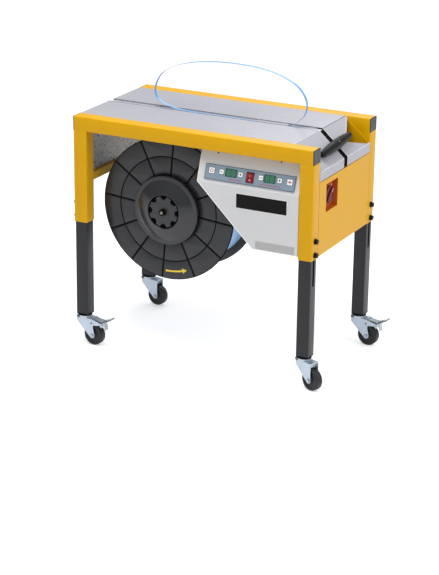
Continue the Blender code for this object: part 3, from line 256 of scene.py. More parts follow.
# %% [markdown]
# ## Films, inks and display windows
# The control strip is polyester film, printed from behind and glued on. Film is perfectly
# flat with an even satin gloss, so these finishes hardly vary. Signs are cut as thin plates
# of ink instead of painted into a texture, so their edges stay sharp.

# %% Films, inks and display windows
# White film of the keys, also used for the marks and for the painted highlight along the cover's
# edges.
WHITE = finish("white_film_and_painted_highlight", "F2F2F2", 0.4, 0.5, 0.005, 0.01, 30)
# Blue-grey film of the strip.
FILM = finish("blue_grey_film", "8294A3", 0.38, 0.5, 0.005, 0.02, 60)
# Bare vinyl of the black plate: matt and deep.
BLACK_FILM = finish(
    "black_plate_film", "050506", 0.5, 0.6, 0.005, 0.03, 60, Specular_IOR_Level=0.15
)
# Bare vinyl of the small label.
GREY_FILM = finish("grey_label_film", "B0B1AF", 0.4, 0.6, 0.005, 0.02, 40)
# Screen-printing ink: flat colour with a slight gloss.
# Black ink also rings each key, as painted shade of the gap round it.
BLACK_INK_AND_SHADE = finish("black_ink_and_painted_shade", "121316", 0.5, 0.5, 0.002)
INK_RED = finish("red_ink", "B01A28", 0.5, 0.5, 0.002)
INK_YELLOW = finish("yellow_ink", "F0CF3A", 0.45, 0.5, 0.002)
# Tinted acrylic window of a display that is off: smooth dark green.
DISPLAY = finish(
    "display_window", "345F4F", 0.2, 0.6, 0.002, 0.03, 20, Specular_IOR_Level=0.3
)
# Its digit bars, one shade paler than the window.
SEGMENT = finish("display_segment", "5C967A", 0.3, 0.6, 0.002, 0.03, 20)
print(len(bpy.data.materials), "materials so far, with those of the CAD")

# %% [markdown]
# ## Metals
# Bare and plated metal has no colour of its own under a gloss: the reflection is the colour.
# So Metallic is high here and the base colour gives the tint of the reflection. Plating that
# has gone dull scatters light like paint, and a Metallic below 1 stands for that.

# %% Metals
# Pressed steel, zinc plated and passivated: a bright, slightly blue skin.
ZINC = finish("zinc_plate", "B4C0CC", 0.32, 0.8, 0.01, 0.06, 18, Metallic=0.75)
# The same plating on the pedals as a greyer copy, for painted shade, with clearer reflections from
# a higher Metallic.
PEDAL_PAINTED_SHADE_ZINC = finish("pedal_zinc_painted_shade", "ACB4BC", 0.30, 0.8, 0.01, 0.08, 18, Metallic=0.9)
# Zinc strip in the strap channel, rubbed dull by the strap: pale, hardly a mirror.
PALE_ZINC = finish("pale_zinc_strip", "DCE2EA", 0.35, 0.8, 0.01, 0.06, 18, Metallic=0.3)
# Plated bolts, rivets, axle ends and pedal skirts: a darker copy of the zinc, as painted shade.
PAINTED_SHADE_ZINC = finish("zinc_painted_shade", "5E6468", 0.35, 0.5, 0.01, 0.10, 6, Metallic=0.9)
# Steel turned on a lathe and left bare: narrow, clear highlights.
STEEL = finish("turned_steel", "B9BABD", 0.3, 0.5, 0.01, 0.06, 25, Metallic=1.0)
# Sand-cast aluminium: dull metal with a coarse skin.
CAST = finish("cast_aluminium", "A9ABAE", 0.5, 0.9, 0.06, 0.08, 40, Metallic=0.9)
# Zinc plating with a yellow passivation on the spindle's end: warm and dull.
BRASS = finish("yellow_passivated_steel", "8C8878", 0.45, 0.6, 0.01, 0.08, 8, Metallic=0.7)
# Steel screws blackened in a bath of oxide salts: the oxide isn't metallic, so it stays black.
SCREW_BLACK = finish(
    "blackened_screw", "101012", 0.5, 0.5, 0.01, 0.08, 10, Specular_IOR_Level=0.15
)
print(len(bpy.data.materials), "materials so far, with those of the CAD")

# %% [markdown]
# ## Galvanised sheet
# The end sheet on the left was dipped in molten zinc. Zinc freezes in flat crystals, called
# spangle, and each one has its own grey. That is just what the cells of a Voronoi texture
# are, with one random colour to a cell. A noise, cut off hard, adds the dark specks of old
# zinc. Crystals and specks are about 9 mm wide.


# %% Galvanised sheet
def galvanised():
    """Hot-dip spangle: flat crystals about 9 mm wide, with small dark specks."""
    material, tree, shader, place = new_material("spangled_galvanised_sheet")
    crystals = node(tree, "TexVoronoi", {"Vector": place, "Scale": 1000 / 9}).outputs["Color"]
    grey = node(tree, "SeparateColor", {"Color": crystals}).outputs[0]
    greys = {0: grey, 6: linear("9C978E"), 7: linear("BEB9B0")}
    tint = node(tree, "Mix", greys, data_type="RGBA").outputs[2]
    noise = {"Vector": place, "Scale": 1000 / 9, "Detail": 4.0}
    spots = node(tree, "TexNoise", noise).outputs[0]
    clear = node(tree, "MapRange", {"Value": spots, 1: 0.38, 2: 0.44}).outputs[0]
    marks = {0: clear, 6: linear("2C2D2F"), 7: tint}
    marked = node(tree, "Mix", marks, data_type="RGBA").outputs[2]
    tree.links.new(marked, shader.inputs["Base Color"])
    levels = {"Value": grey, 3: 0.35, 4: 0.6}
    tree.links.new(node(tree, "MapRange", levels).outputs[0], shader.inputs["Roughness"])
    shader.inputs["Metallic"].default_value = 0.2
    return material


GALVANISED = galvanised()
print(GALVANISED.name, "has", len(GALVANISED.node_tree.nodes), "nodes")

# %% [markdown]
# ## Polypropylene strap
# Strap is drawn from blue polypropylene and rolled between embossed rollers, which leave a
# waffle of small dents, 1.5 mm apart, and a satin shine. Three wave textures, one to each
# axis, are multiplied to make the waffle. It hardly shows from the camera, but it breaks the
# highlight up as on the real strap.

# %% Polypropylene strap
# A wave texture of scale 1 repeats every 20 / tau metres.
WAVE = math.tau / 20
DENT_MM = 1.5


def strapping():
    """Polypropylene strap with its embossed waffle."""
    material, tree, shader, place = new_material("blue_polypropylene_strap")
    waves = {"Vector": place, "Scale": WAVE * 1000 / DENT_MM}
    dents = 1.0
    for axis in "XYZ":
        rows = node(tree, "TexWave", waves, bands_direction=axis).outputs["Fac"]
        dents = node(tree, "Math", {0: dents, 1: rows}, operation="MULTIPLY").outputs[0]
    bump = node(tree, "Bump", {"Height": dents, "Strength": 0.5, "Distance": 0.0001})
    tree.links.new(bump.outputs["Normal"], shader.inputs["Normal"])
    patches = node(tree, "TexNoise", {"Vector": place, "Scale": 1000 / 60}).outputs[0]
    blues = {0: patches, 6: linear("4F8FC8"), 7: linear("77B2E4")}
    tint = node(tree, "Mix", blues, data_type="RGBA").outputs[2]
    tree.links.new(tint, shader.inputs["Base Color"])
    shader.inputs["Roughness"].default_value = 0.3
    return material


STRAP = strapping()
print(STRAP.name, "with dents every", DENT_MM, "mm")

# %% [markdown]
# ## Wound strap
# On the reel the strap lies turn beside turn, each 12 mm wide. Modelling hundreds of turns
# would make a heavy mesh for something that is half hidden, so the coil is one turned piece
# and a saw-tooth wave along its axis draws the edge between two turns.

# %% Wound strap
STRAP_WIDTH_MM = 12


def wound_strap():
    """Turns of strap laid next to each other along Y."""
    material, tree, shader, place = new_material("wound_blue_strap")
    waves = {"Vector": place, "Scale": WAVE * 1000 / STRAP_WIDTH_MM}
    saw = node(tree, "TexWave", waves, bands_direction="Y", wave_profile="SAW")
    turns = saw.outputs["Fac"]
    uneven = node(tree, "TexNoise", {"Vector": place, "Scale": 1000 / 30}).outputs[0]
    worn = node(tree, "Math", {0: turns, 1: uneven}, operation="MULTIPLY").outputs[0]
    share = node(tree, "MapRange", {"Value": worn, 2: 0.12}).outputs[0]
    blues = {0: share, 6: linear("6F9CD2"), 7: linear("98C2F4")}
    tint = node(tree, "Mix", blues, data_type="RGBA").outputs[2]
    tree.links.new(tint, shader.inputs["Base Color"])
    bump = node(tree, "Bump", {"Height": turns, "Strength": 0.5, "Distance": 0.0008})
    tree.links.new(bump.outputs["Normal"], shader.inputs["Normal"])
    shader.inputs["Roughness"].default_value = 0.38
    return material


COIL = wound_strap()
print(len(bpy.data.materials), "materials in all")

# %% [markdown]
# ## Pieces on the machine
# A piece gets its finish in one of two ways. Where the CAD node has the right shape, `dress`
# keeps it, with a finish and a bevel that rounds its edges, since real sheet and castings
# have no sharp ones. Where the shape needs more, `show` adds a new mesh, lets it ride on the
# body it moves with and hides the CAD node it stands for.


# %% Pieces on the machine
def mesh_of(bm):
    """A finished mesh, smooth but for edges sharper than 32 degrees."""
    bmesh.ops.recalc_face_normals(bm, faces=bm.faces)
    mesh = bpy.data.meshes.new("look")
    bm.to_mesh(mesh)
    bm.free()
    for face in mesh.polygons:
        face.use_smooth = True
    mesh.set_sharp_from_angle(angle=math.radians(32))
    return mesh


def show(name, mesh, material, body, matrix=None, replaces=None):
    """A piece of the looks, riding on a CAD body and standing for CAD nodes."""
    mesh.materials.clear()
    mesh.materials.append(material)
    piece = bpy.data.objects.new(name, mesh)
    bpy.context.scene.collection.objects.link(piece)
    if matrix is not None:
        piece.matrix_world = matrix
    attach(piece, body)
    if replaces:
        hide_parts(replaces)
    return piece


def dress(name, material, radius=0.0):
    """A CAD node as it is, with its finish and its edges rounded."""
    piece = NODES[name]
    piece.data.materials.clear()
    piece.data.materials.append(material)
    if radius:
        weld = piece.modifiers.new("weld", "WELD")
        weld.merge_threshold = 0.00001
        bevel = piece.modifiers.new("round", "BEVEL")
        bevel.width = radius
        bevel.segments = 2
        bevel.angle_limit = math.radians(28)
        bevel.harden_normals = True
    return piece


dress("strap_feed_run", STRAP)
print("strap run dressed, one of", len(NODES), "nodes")

# %% [markdown]
# ## Line of the loose strap
# The strap comes up out of the slot, springs over the table in a wide arch and goes down to
# the sealing head. It is stiff on edge, so it stays in one upright plane. A Bezier curve
# could draw it, but its handles have no meaning on the machine. A Catmull-Rom curve runs
# through each point, so the points are simply places where the strap passes.


# %% Line of the loose strap
def smooth_path(points, steps):
    """A Catmull-Rom curve through the points, with steps points to each span."""
    ends = [points[0], *points, points[-1]]
    path = []
    for i in range(1, len(ends) - 2):
        p = ends[i - 1 : i + 3]
        for k in range(steps):
            t = k / steps
            weights = (
                -0.5 * t**3 + t**2 - 0.5 * t,
                1.5 * t**3 - 2.5 * t**2 + 1,
                -1.5 * t**3 + 2 * t**2 + 0.5 * t,
                0.5 * t**3 - 0.5 * t**2,
            )
            path.append(tuple(sum(w * q[c] for w, q in zip(weights, p)) for c in (0, 1)))
    return [*path, tuple(points[-1])]


# Along the slot, up at the left, over the arch and down at the right, as X and Z.
LOOP_POINTS = (
    (0.1140, 0.8130), (0.0700, 0.8130), (0.0100, 0.8130), (-0.0600, 0.8132),
    (-0.1300, 0.8150), (-0.1900, 0.8205), (-0.2350, 0.8320), (-0.2600, 0.8475),
    (-0.2690, 0.8650), (-0.2685, 0.8860), (-0.2590, 0.9130), (-0.2380, 0.9400),
    (-0.1990, 0.9640), (-0.1340, 0.9850), (-0.0560, 0.9970), (0.0200, 1.0010),
    (0.0960, 0.9990), (0.1700, 0.9895), (0.2280, 0.9710), (0.2655, 0.9500),
    (0.2885, 0.9250), (0.2995, 0.8985), (0.2985, 0.8715), (0.2870, 0.8490),
    (0.2680, 0.8310), (0.2500, 0.8190), (0.2362, 0.8140),
)
loop_path = smooth_path(LOOP_POINTS, 8)

# %% [markdown]
# ## Loose strap
# The strap is a flat band, 12 mm by 0.8 mm. A curve with a bevel would twist it at the bends.
# So four corners are set out at each point of the line, square to its run, and joined.

# %% Loose strap
STRAP_WIDTH, STRAP_THICK = STRAP_WIDTH_MM / 1000, 0.0008


def ribbon(path, width, thick):
    """A strap along points in X and Z, with its width along Y."""
    bm = bmesh.new()
    across = Vector((0, width / 2, 0))
    rings = []
    for i, (x, z) in enumerate(path):
        before, after = path[max(i - 1, 0)], path[min(i + 1, len(path) - 1)]
        run = Vector((after[0] - before[0], 0, after[1] - before[1])).normalized()
        side = Vector((-run.z, 0, run.x)) * (thick / 2)
        place = at(x, 0, z)
        ring = [place - side - across, place - side + across]
        ring += [place + side + across, place + side - across]
        rings.append([bm.verts.new(point) for point in ring])
    for a, b in zip(rings, rings[1:]):
        for k in range(4):
            n = (k + 1) % 4
            bm.faces.new((a[k], a[n], b[n], b[k]))
    bm.faces.new(rings[0][::-1])
    bm.faces.new(rings[-1])
    return mesh_of(bm)


loop_mesh = ribbon(loop_path, STRAP_WIDTH, STRAP_THICK)
loop = show("strap_loop_look", loop_mesh, STRAP, "frame", replaces="strap_loop")
print("strap of", len(loop_mesh.polygons), "faces")

# %% [markdown]
# ## Outlines with thickness
# Tube, plates, signs and gaskets are all one flat outline pushed to a thickness. A 2D curve
# fills such an outline by itself, leaves inner outlines open as holes, and can round its
# edges. `flat` makes the curve, takes its mesh and throws the curve away. `arc` and
# `rounded` draw the outlines that come back most.


# %% Outlines with thickness
def arc(centre, radius, start, end, count):
    """Points along an arc between two angles in degrees."""
    steps = [math.radians(start + (end - start) * i / (count - 1)) for i in range(count)]
    return [(centre[0] + radius * math.cos(a), centre[1] + radius * math.sin(a)) for a in steps]


def rounded(half_x, half_y, radius, centre=(0, 0)):
    """A rectangle's outline with rounded corners."""
    points = []
    for k, (sx, sy) in enumerate(((1, 1), (-1, 1), (-1, -1), (1, -1))):
        middle = (centre[0] + sx * (half_x - radius), centre[1] + sy * (half_y - radius))
        points += arc(middle, radius, 90 * k, 90 * k + 90, 5)
    return points


def flat(outlines, depth, radius=0.0):
    """Outlines in X and Y made one plate from z 0 to depth; an outline in another is a hole."""
    curve = bpy.data.curves.new("flat", "CURVE")
    curve.dimensions = "2D"
    curve.fill_mode = "BOTH"
    curve.extrude = depth / 2 - radius
    curve.bevel_depth = radius
    curve.bevel_resolution = 1
    for outline in outlines:
        spline = curve.splines.new("POLY")
        spline.points.add(len(outline) - 1)
        for point, (x, y) in zip(spline.points, outline):
            point.co = (x, y, 0, 1)
        spline.use_cyclic_u = True
    if radius:
        curve.offset = -radius
    helper = bpy.data.objects.new("flat", curve)
    bpy.context.scene.collection.objects.link(helper)
    graph = bpy.context.evaluated_depsgraph_get()
    mesh = bpy.data.meshes.new_from_object(helper.evaluated_get(graph))
    bpy.data.objects.remove(helper, do_unlink=True)
    bm = bmesh.new()
    bm.from_mesh(mesh)
    bmesh.ops.remove_doubles(bm, verts=bm.verts, dist=1e-6)
    bmesh.ops.translate(bm, vec=(0, 0, depth / 2), verts=bm.verts)
    return mesh_of(bm)


def frame_of(half_x, half_y, radius, wall, inner_radius, centre=(0, 0)):
    """A rectangular outline and, inside it, the outline of its opening."""
    outer = rounded(half_x, half_y, radius, centre)
    inner = rounded(half_x - wall, half_y - wall, inner_radius, centre)
    return [outer, inner[::-1]]


print("a rounded outline has", len(rounded(0.02, 0.01, 0.002)), "points")

# %% [markdown]
# ## Directions
# An outline is drawn in X and Y and grows along Z, but on the machine it may face any way. A
# chain of rotations is hard to read back, so each direction has its own small matrix:
# `facing("-Y", place)` sets a drawing upright on the front, as seen by someone before it.

# %% Directions
FACING = {
    "X": Matrix(((0, 0, 1), (1, 0, 0), (0, 1, 0))),
    "-X": Matrix(((0, 0, -1), (-1, 0, 0), (0, 1, 0))),
    "-Y": Matrix(((1, 0, 0), (0, 0, -1), (0, 1, 0))),
}


def facing(direction, place):
    """A frame at place whose Z points in a direction; its Y is up."""
    return Matrix.Translation(place) @ FACING[direction].to_4x4()


print("a front drawing's Z points along", list(facing("-Y", Vector()).col[2][:3]))

# %% [markdown]
# ## Rails and sleeves
# Two rails carry the table and four sleeves, welded under them, take the legs. All are 50 mm
# square steel tube, which is rolled and so has round corners of 3.5 mm. A bevel on the CAD
# box would round the open ends too, so the tube's section is drawn and pushed to length. Each
# sleeve runs up past the rail's rounding, as where two tubes are welded and ground flush.

# %% Rails and sleeves
RAILS = {"front": -1, "rear": 1}
ENDS = {"left": -1, "right": 1}
OUTWARD = {"left": "-X", "right": "X"}
CORNER, WALL = 0.0035, 0.002


def tube(half, length, corner):
    return flat(frame_of(half, half, corner, WALL, max(corner - WALL, 0.0008)), length)


for side in RAILS:
    low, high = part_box(f"{side}_rail")
    rail_place = facing("X", Vector((low.x, (low.y + high.y) / 2, (low.z + high.z) / 2)))
    rail = tube(TUBE / 2, high.x - low.x, CORNER)
    show(f"{side}_rail_look", rail, YELLOW, "frame", rail_place, f"{side}_rail")
    for end in ENDS:
        name = f"{side}_{end}_sleeve"
        low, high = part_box(name)
        sleeve = tube(TUBE / 2, RAIL_BOTTOM + CORNER - low.z, CORNER)
        foot = Vector(((low.x + high.x) / 2, (low.y + high.y) / 2, low.z))
        show(f"{name}_look", sleeve, YELLOW, "frame", Matrix.Translation(foot), name)
print("rails of", round(LENGTH * 1000), "mm with", len(ENDS), "sleeves each")

# %% [markdown]
# ## Rail plugs
# Grey plastic plugs close the open rail ends. Their CAD shape is right, so they are only
# dressed. Where plug and tube meet there is a fine gap, and a thin dark ring stands for it,
# since the eye reads the plug as a separate piece by that line.

# %% Rail plugs
for side in RAILS:
    low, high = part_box(f"{side}_rail")
    for end in ENDS:
        dress(f"{side}_{end}_rail_cap", CAP_PLASTIC, 0.0012)
        seam = flat(frame_of(0.02502, 0.02502, CORNER, 0.00102, CORNER - 0.001), 0.0019)
        rim_x = high.x if end == "right" else low.x
        rim = Vector((rim_x, (low.y + high.y) / 2, (low.z + high.z) / 2))
        show(f"{side}_{end}_cap_seam", seam, BLACK_AND_PAINTED_SHADE, "frame", facing(OUTWARD[end], rim))
print(len(RAILS) * len(ENDS), "plugs")

# %% [markdown]
# ## Legs
# Each leg is a smaller black tube that slides in its sleeve, and a long slot in its outer
# face lets the clamp bolts pass at every height. The slot is cut with a Boolean, since an
# outline pushed to length can't have a hole in its side. A plate closes the leg's foot, with
# a hole for the caster's pin.

# %% Legs
LEG_HALF, LEG_CORNER = 0.0226, 0.003
KNOB_HEIGHTS = (0.016, 0.063)
LEG_UP, LEG_DOWN = 0.105, 0.045


def moved(mesh, matrix):
    mesh.transform(matrix)
    return mesh


def cut(piece, mesh):
    """Cuts a mesh, given in the piece's own frame, out of it."""
    tool = bpy.data.objects.new("tool", mesh)
    bpy.context.scene.collection.objects.link(tool)
    tool.matrix_world = piece.matrix_world
    boolean = piece.modifiers.new("cut", "BOOLEAN")
    boolean.object = tool
    boolean.solver = "EXACT"
    bpy.context.view_layer.update()
    graph = bpy.context.evaluated_depsgraph_get()
    result = bpy.data.meshes.new_from_object(piece.evaluated_get(graph))
    piece.modifiers.clear()
    piece.data = result
    for face in result.polygons:
        face.use_smooth = True
    result.set_sharp_from_angle(angle=math.radians(32))
    bpy.data.objects.remove(tool, do_unlink=True)


for side in RAILS:
    for end in ENDS:
        name = f"{side}_{end}_leg"
        low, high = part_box(name)
        sleeve_low, sleeve_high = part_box(f"{side}_{end}_sleeve")
        middle = (sleeve_low + sleeve_high) / 2
        foot = Matrix.Translation((middle.x, middle.y, low.z))
        leg = tube(LEG_HALF, high.z - low.z, LEG_CORNER)
        leg_piece = show(f"{name}_look", leg, BLACK_ENAMEL, f"{name}_body", foot, name)
        sole = [rounded(LEG_HALF, LEG_HALF, LEG_CORNER), arc((0, 0), 0.0056, 0, -345, 24)]
        show(f"{name}_foot", flat(sole, 0.004, 0.0004), BLACK_ENAMEL, f"{name}_body", foot)
        slot_low = SLEEVE_BOTTOM + KNOB_HEIGHTS[0] - LEG_UP - low.z
        slot_high = SLEEVE_BOTTOM + KNOB_HEIGHTS[1] + LEG_DOWN - low.z
        slot = flat([rounded(0.0065, (slot_high - slot_low) / 2 + 0.0045, 0.0064)], 0.04)
        slot_place = facing(OUTWARD[end], Vector((0, 0, (slot_low + slot_high) / 2)))
        cut(leg_piece, moved(slot, slot_place))
print("slots of", round((slot_high - slot_low) * 1000), "mm between their round ends")

# %% [markdown]
# ## Clamp knobs
# Two screws with round black knobs clamp each leg at its height. Knob and nut bar come from
# CAD. Under each knob lies a washer, which is a ring turned about its own axis: `turned`
# sweeps a half section round Z, as a lathe does, and is used for every round part below.


# %% Clamp knobs
def turned(profile, sides=96):
    """A closed profile of (radius, z) points turned about Z; radius 0 points lie on the axis."""
    bm = bmesh.new()
    rings = []
    for radius, z in profile:
        if radius < 1e-7:
            rings.append([bm.verts.new((0, 0, z))])
            continue
        angles = [math.tau * k / sides for k in range(sides)]
        ring = [(radius * math.cos(a), radius * math.sin(a), z) for a in angles]
        rings.append([bm.verts.new(point) for point in ring])
    pairs = list(zip(rings, rings[1:]))
    if len(rings[0]) > 1:
        pairs.append((rings[-1], rings[0]))
    for a, b in pairs:
        for k in range(sides):
            n = (k + 1) % sides
            points = [a[k % len(a)], a[n % len(a)], b[n % len(b)], b[k % len(b)]]
            unique = list(dict.fromkeys(points))
            if len(unique) > 2:
                bm.faces.new(unique)
    return mesh_of(bm)


KNOB_LENGTH = 0.0105
washer = [(0.0066, 0.0002), (0.0102, 0.0002), (0.0102, 0.0012), (0.0098, 0.0016), (0.0066, 0.0016)]
for side in RAILS:
    for end in ENDS:
        name = f"{side}_{end}_leg_clamp"
        low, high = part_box(name)
        dress(name, SCREW_BLACK, 0.0006)
        face = high.x - KNOB_LENGTH if end == "right" else low.x + KNOB_LENGTH
        for height in KNOB_HEIGHTS:
            z = SLEEVE_BOTTOM + height
            place = facing(OUTWARD[end], Vector((face, (low.y + high.y) / 2, z)))
            ring_name = f"{side}_{end}_washer_{int(z * 1000)}"
            show(ring_name, turned(washer, 40), SCREW_BLACK, "frame", place)
print("knobs at", [round(SLEEVE_BOTTOM + height, 3) for height in KNOB_HEIGHTS])

# %% [markdown]
# ## Table
# The table is two halves of bent 2 mm sheet with the strap channel between them. At the
# right end they fold down a slope to a lip. The CAD pieces are right, with a small bevel for
# the bends. `on_slope` finds a place on the slope, for everything that stands on it.

# %% Table
dress("front_table_half", TABLE_GREY, 0.0007)
dress("rear_table_half", TABLE_GREY, 0.0007)
dress("slope_channel", SLOT_BLACK_AND_SHADE, 0.0004)
SLOT_HALF, TABLE_HALF = 0.0155, 0.2045
SLOPE_RUN, SLOPE_DROP, LIP = 0.093, 0.0828, 0.032
BEND = HALF_LENGTH - SLOPE_RUN
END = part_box("front_table_half")[1].x - MIDDLE_X
SLOPE = math.atan2(SLOPE_DROP, SLOPE_RUN)
LIP_TOP = TABLE_FACE - SLOPE_DROP
LIP_BOTTOM = LIP_TOP - LIP


def on_slope(x, y):
    """The place on the slope's face at x and y."""
    return at(x, y, TABLE_FACE - math.tan(SLOPE) * (x - BEND))


print("slope of", round(math.degrees(SLOPE), 1), "degrees")

# %% [markdown]
# ## Edges of the table
# Pale rods of painted highlight lie along the bends, where folded enamel catches the light,
# and dark rods of painted shade along the slot's edges on the flat and the rear fold. Both
# lines are finer than the bevel on the sheet. A line in the material would need a texture
# laid out over the sheet, so each one is a rod, 1.6 mm thick and half sunk, from one corner
# to the next.


# %% Edges of the table
def rod(radius, length, chamfer=0.0, sides=48):
    """A round bar from z 0 to length."""
    ends = [(0, 0), (radius - chamfer, 0), (radius, chamfer)]
    ends += [(radius, length - chamfer), (radius - chamfer, length), (0, length)]
    return turned([p for i, p in enumerate(ends) if chamfer or i not in (2, 3)], sides)


def painted_line(name, start, end, material, radius=0.0008):
    """A fine rounded rod between two places, which carries a line of painted highlight or painted
    shade.
    """
    run = end - start
    way = run.to_track_quat("Z", "Y").to_matrix().to_4x4()
    line = rod(radius, run.length, radius / 3, 12)
    show(name, line, material, "frame", Matrix.Translation(start) @ way)


for side, sy in RAILS.items():
    slot, far = sy * SLOT_HALF, sy * TABLE_HALF
    lines = [
        (at(END, slot, LIP_TOP), at(END, far, LIP_TOP), PAINTED_HIGHLIGHT),
        (at(BEND, slot, TABLE_FACE), at(END, slot, LIP_TOP), PAINTED_HIGHLIGHT),
        (at(END, slot, LIP_TOP), at(END, slot, LIP_BOTTOM), PAINTED_HIGHLIGHT),
        (at(-HALF_LENGTH, slot, TABLE_FACE), at(BEND, slot, TABLE_FACE), PAINTED_SHADE_LINE),
    ]
    for k, (start, stop, look) in enumerate(lines):
        painted_line(f"{side}_table_painted_line_{k}", start, stop, look)
front_fold = at(BEND, -SLOT_HALF, TABLE_FACE), at(BEND, -TABLE_HALF, TABLE_FACE)
rear_fold = at(BEND, SLOT_HALF, TABLE_FACE), at(BEND, TABLE_HALF - 0.002, TABLE_FACE)
painted_line("front_fold_painted_highlight", *front_fold, PAINTED_HIGHLIGHT)
painted_line("rear_fold_painted_shade", *rear_fold, PAINTED_SHADE_LINE)
notch = on_slope(BEND + 0.004, TABLE_HALF - 0.004), on_slope(HALF_LENGTH - 0.034, 0.075)
painted_line("notch_painted_highlight", *notch, PAINTED_HIGHLIGHT)
print("notch edge of", round((notch[1] - notch[0]).length * 1000), "mm")

# %% [markdown]
# ## Walls of the strap channel
# Beyond the bend the strap runs in a black channel between the halves. Its walls are drawn
# as one bent outline, from 1.2 mm to 5.8 mm below the sheet's face, since a box to each
# straight would leave gaps at the bends. Their near-black is painted shade, where the sheet's
# sides lie in shadow.

# %% Walls of the strap channel
sheet = [(BEND - 0.020, TABLE_FACE), (BEND, TABLE_FACE), (END, LIP_TOP), (END, LIP_BOTTOM + 0.001)]
outer = [(x - 0.0014 * (z < TABLE_FACE), z - 0.0012) for x, z in sheet]
inner = [(x - 0.0062 * (z < TABLE_FACE), z - 0.0058) for x, z in sheet]
inner[-1] = (inner[-1][0], outer[-1][1])
for side, y in (("front", -SLOT_HALF + 0.0004), ("rear", SLOT_HALF + 0.0001)):
    wall = flat([outer + inner[::-1]], 0.0005)
    wall_place = facing("-Y", Vector((MIDDLE_X, MIDDLE_Y + y, 0)))
    show(f"{side}_channel_wall", wall, SLOT_BLACK_AND_SHADE, "frame", wall_place)
print("channel", round(SLOT_HALF * 2000), "mm wide")

# %% [markdown]
# ## Floor of the strap channel
# On the flat part the strap slides on pale zinc strips, which stop at either side of the
# sealing head. They are thin boxes, and `box` bevels all edges of a cube, which is quicker
# than a modifier for a small piece.


# %% Floor of the strap channel
def box(low, high, radius):
    """A box with rounded edges."""
    low, high = Vector(low), Vector(high)
    bm = bmesh.new()
    bmesh.ops.create_cube(bm, size=1.0)
    bmesh.ops.scale(bm, vec=high - low, verts=bm.verts)
    bmesh.ops.translate(bm, vec=(low + high) / 2, verts=bm.verts)
    edges = bm.edges[:]
    bmesh.ops.bevel(bm, geom=edges, offset=radius, segments=3, profile=0.5, affect="EDGES")
    return mesh_of(bm)


INSERT_HALF = 0.0148
HEAD_LEFT, HEAD_RIGHT = 0.1135, 0.2365
table_middle = Matrix.Translation(at(0, 0, TABLE_FACE))
for name, x0, x1, low, high in (
    ("left", -HALF_LENGTH, HEAD_LEFT, -0.0051, -0.0048),
    ("right", HEAD_RIGHT, BEND - 0.0207, -0.0051, -0.0048),
    ("end", BEND - 0.0200, BEND - 0.0010, -0.0059, -0.0040),
):
    strip = box((x0, -INSERT_HALF, low), (x1, INSERT_HALF, high), 0.0001)
    show(f"channel_insert_{name}", strip, PALE_ZINC, "frame", table_middle)
print("opening for the head", round((HEAD_RIGHT - HEAD_LEFT) * 1000), "mm long")

# %% [markdown]
# ## Sheet metal and inner parts
# Panels, cover, cabinet, sealing head, rollers and motor keep their CAD shape. One table
# says which finish and which rounding each one takes: about half a millimetre for bent
# sheet, more for a casting. The galvanised sheet is sheared and stays sharp.

# %% Sheet metal and inner parts
DRESSED = {
    "end_panel": (YELLOW, 0.0006),
    "left_cross_rail": (YELLOW, 0.0008),
    "left_end_panel": (GALVANISED, 0),
    "front_cover": (COVER_GREY, 0.0009),
    "cabinet_shell": (COVER_GREY, 0.0006),
    "control_panel": (FILM, 0.0005),
    # The switch body takes the orange of the pocket's painted shade.
    "main_switch_body": (PAINTED_SHADE_ORANGE, 0.0008),
    "sealing_head": (CAST, 0.0006),
    "gear_motor": (CAST, 0.0012),
    "cam_shaft": (STEEL, 0.0004),
    "feed_roller": (TYRE, 0.0008),
    "press_roller": (TYRE, 0.0008),
    "reel_brake_lever": (ZINC, 0.0006),
    "reel_spindle": (STEEL, 0.0006),
}
for name, (material, radius) in DRESSED.items():
    dress(name, material, radius)
print(len(DRESSED), "pieces dressed")

# %% [markdown]
# ## Wheels
# A caster's wheel is moulded with a rounded tread, a rim and a recessed face. CAD has it as
# a plain disc. Being round, it is turned: the outline of one half is drawn from the hub to
# the tread, then mirrored. It rides on the wheel's own body, so it spins.

# %% Wheels
WHEEL_RADIUS, WHEEL_HALF, TREAD = 0.0375, 0.014, 0.0055
CASTERS = [f"{side}_{end}" for side in RAILS for end in ENDS]


def wheel_profile(radius, half):
    face = [(0.0043, half), (0.0105, half), (0.0118, half - 0.0012), (0.0125, half - 0.0032)]
    face += [(0.0255, half - 0.0032), (0.0265, half - 0.0010), (0.0285, half - 0.0006)]
    face += arc((radius - TREAD, half - 0.0060), TREAD, 85, 5, 6)
    return face + [(r, -z) for r, z in reversed(face)]


def wheel_axle(name):
    """The middle of a wheel and the direction of its axle."""
    low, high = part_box(f"{name}_wheel")
    return (low + high) / 2, Vector(JOINTS[f"{name}_wheel_spin"]["axis"]).normalized()


def along(direction):
    """The rotation that turns Z to a direction."""
    return direction.to_track_quat("Z", "Y").to_matrix().to_4x4()


for name in CASTERS:
    centre, axle = wheel_axle(name)
    wheel = turned(wheel_profile(WHEEL_RADIUS, WHEEL_HALF), 96)
    wheel_place = Matrix.Translation(centre) @ along(axle)
    show(f"{name}_wheel_look", wheel, TYRE, f"{name}_wheel_body", wheel_place, f"{name}_wheel")
print("wheels of", round(WHEEL_RADIUS * 2000), "mm")

# %% [markdown]
# ## Forks and pedals
# The pressed forks keep their CAD shape. What makes them look like casters are the small
# parts: the dark seal of the ball race under the leg, a bolt through the fork, the axle's
# riveted ends and, on two of them, the brake pedal with its rivet and the skirt that presses
# on the tread. Each is placed in the fork's own frame, whose X trails from the pin to the
# wheel, so one set of numbers serves all four.

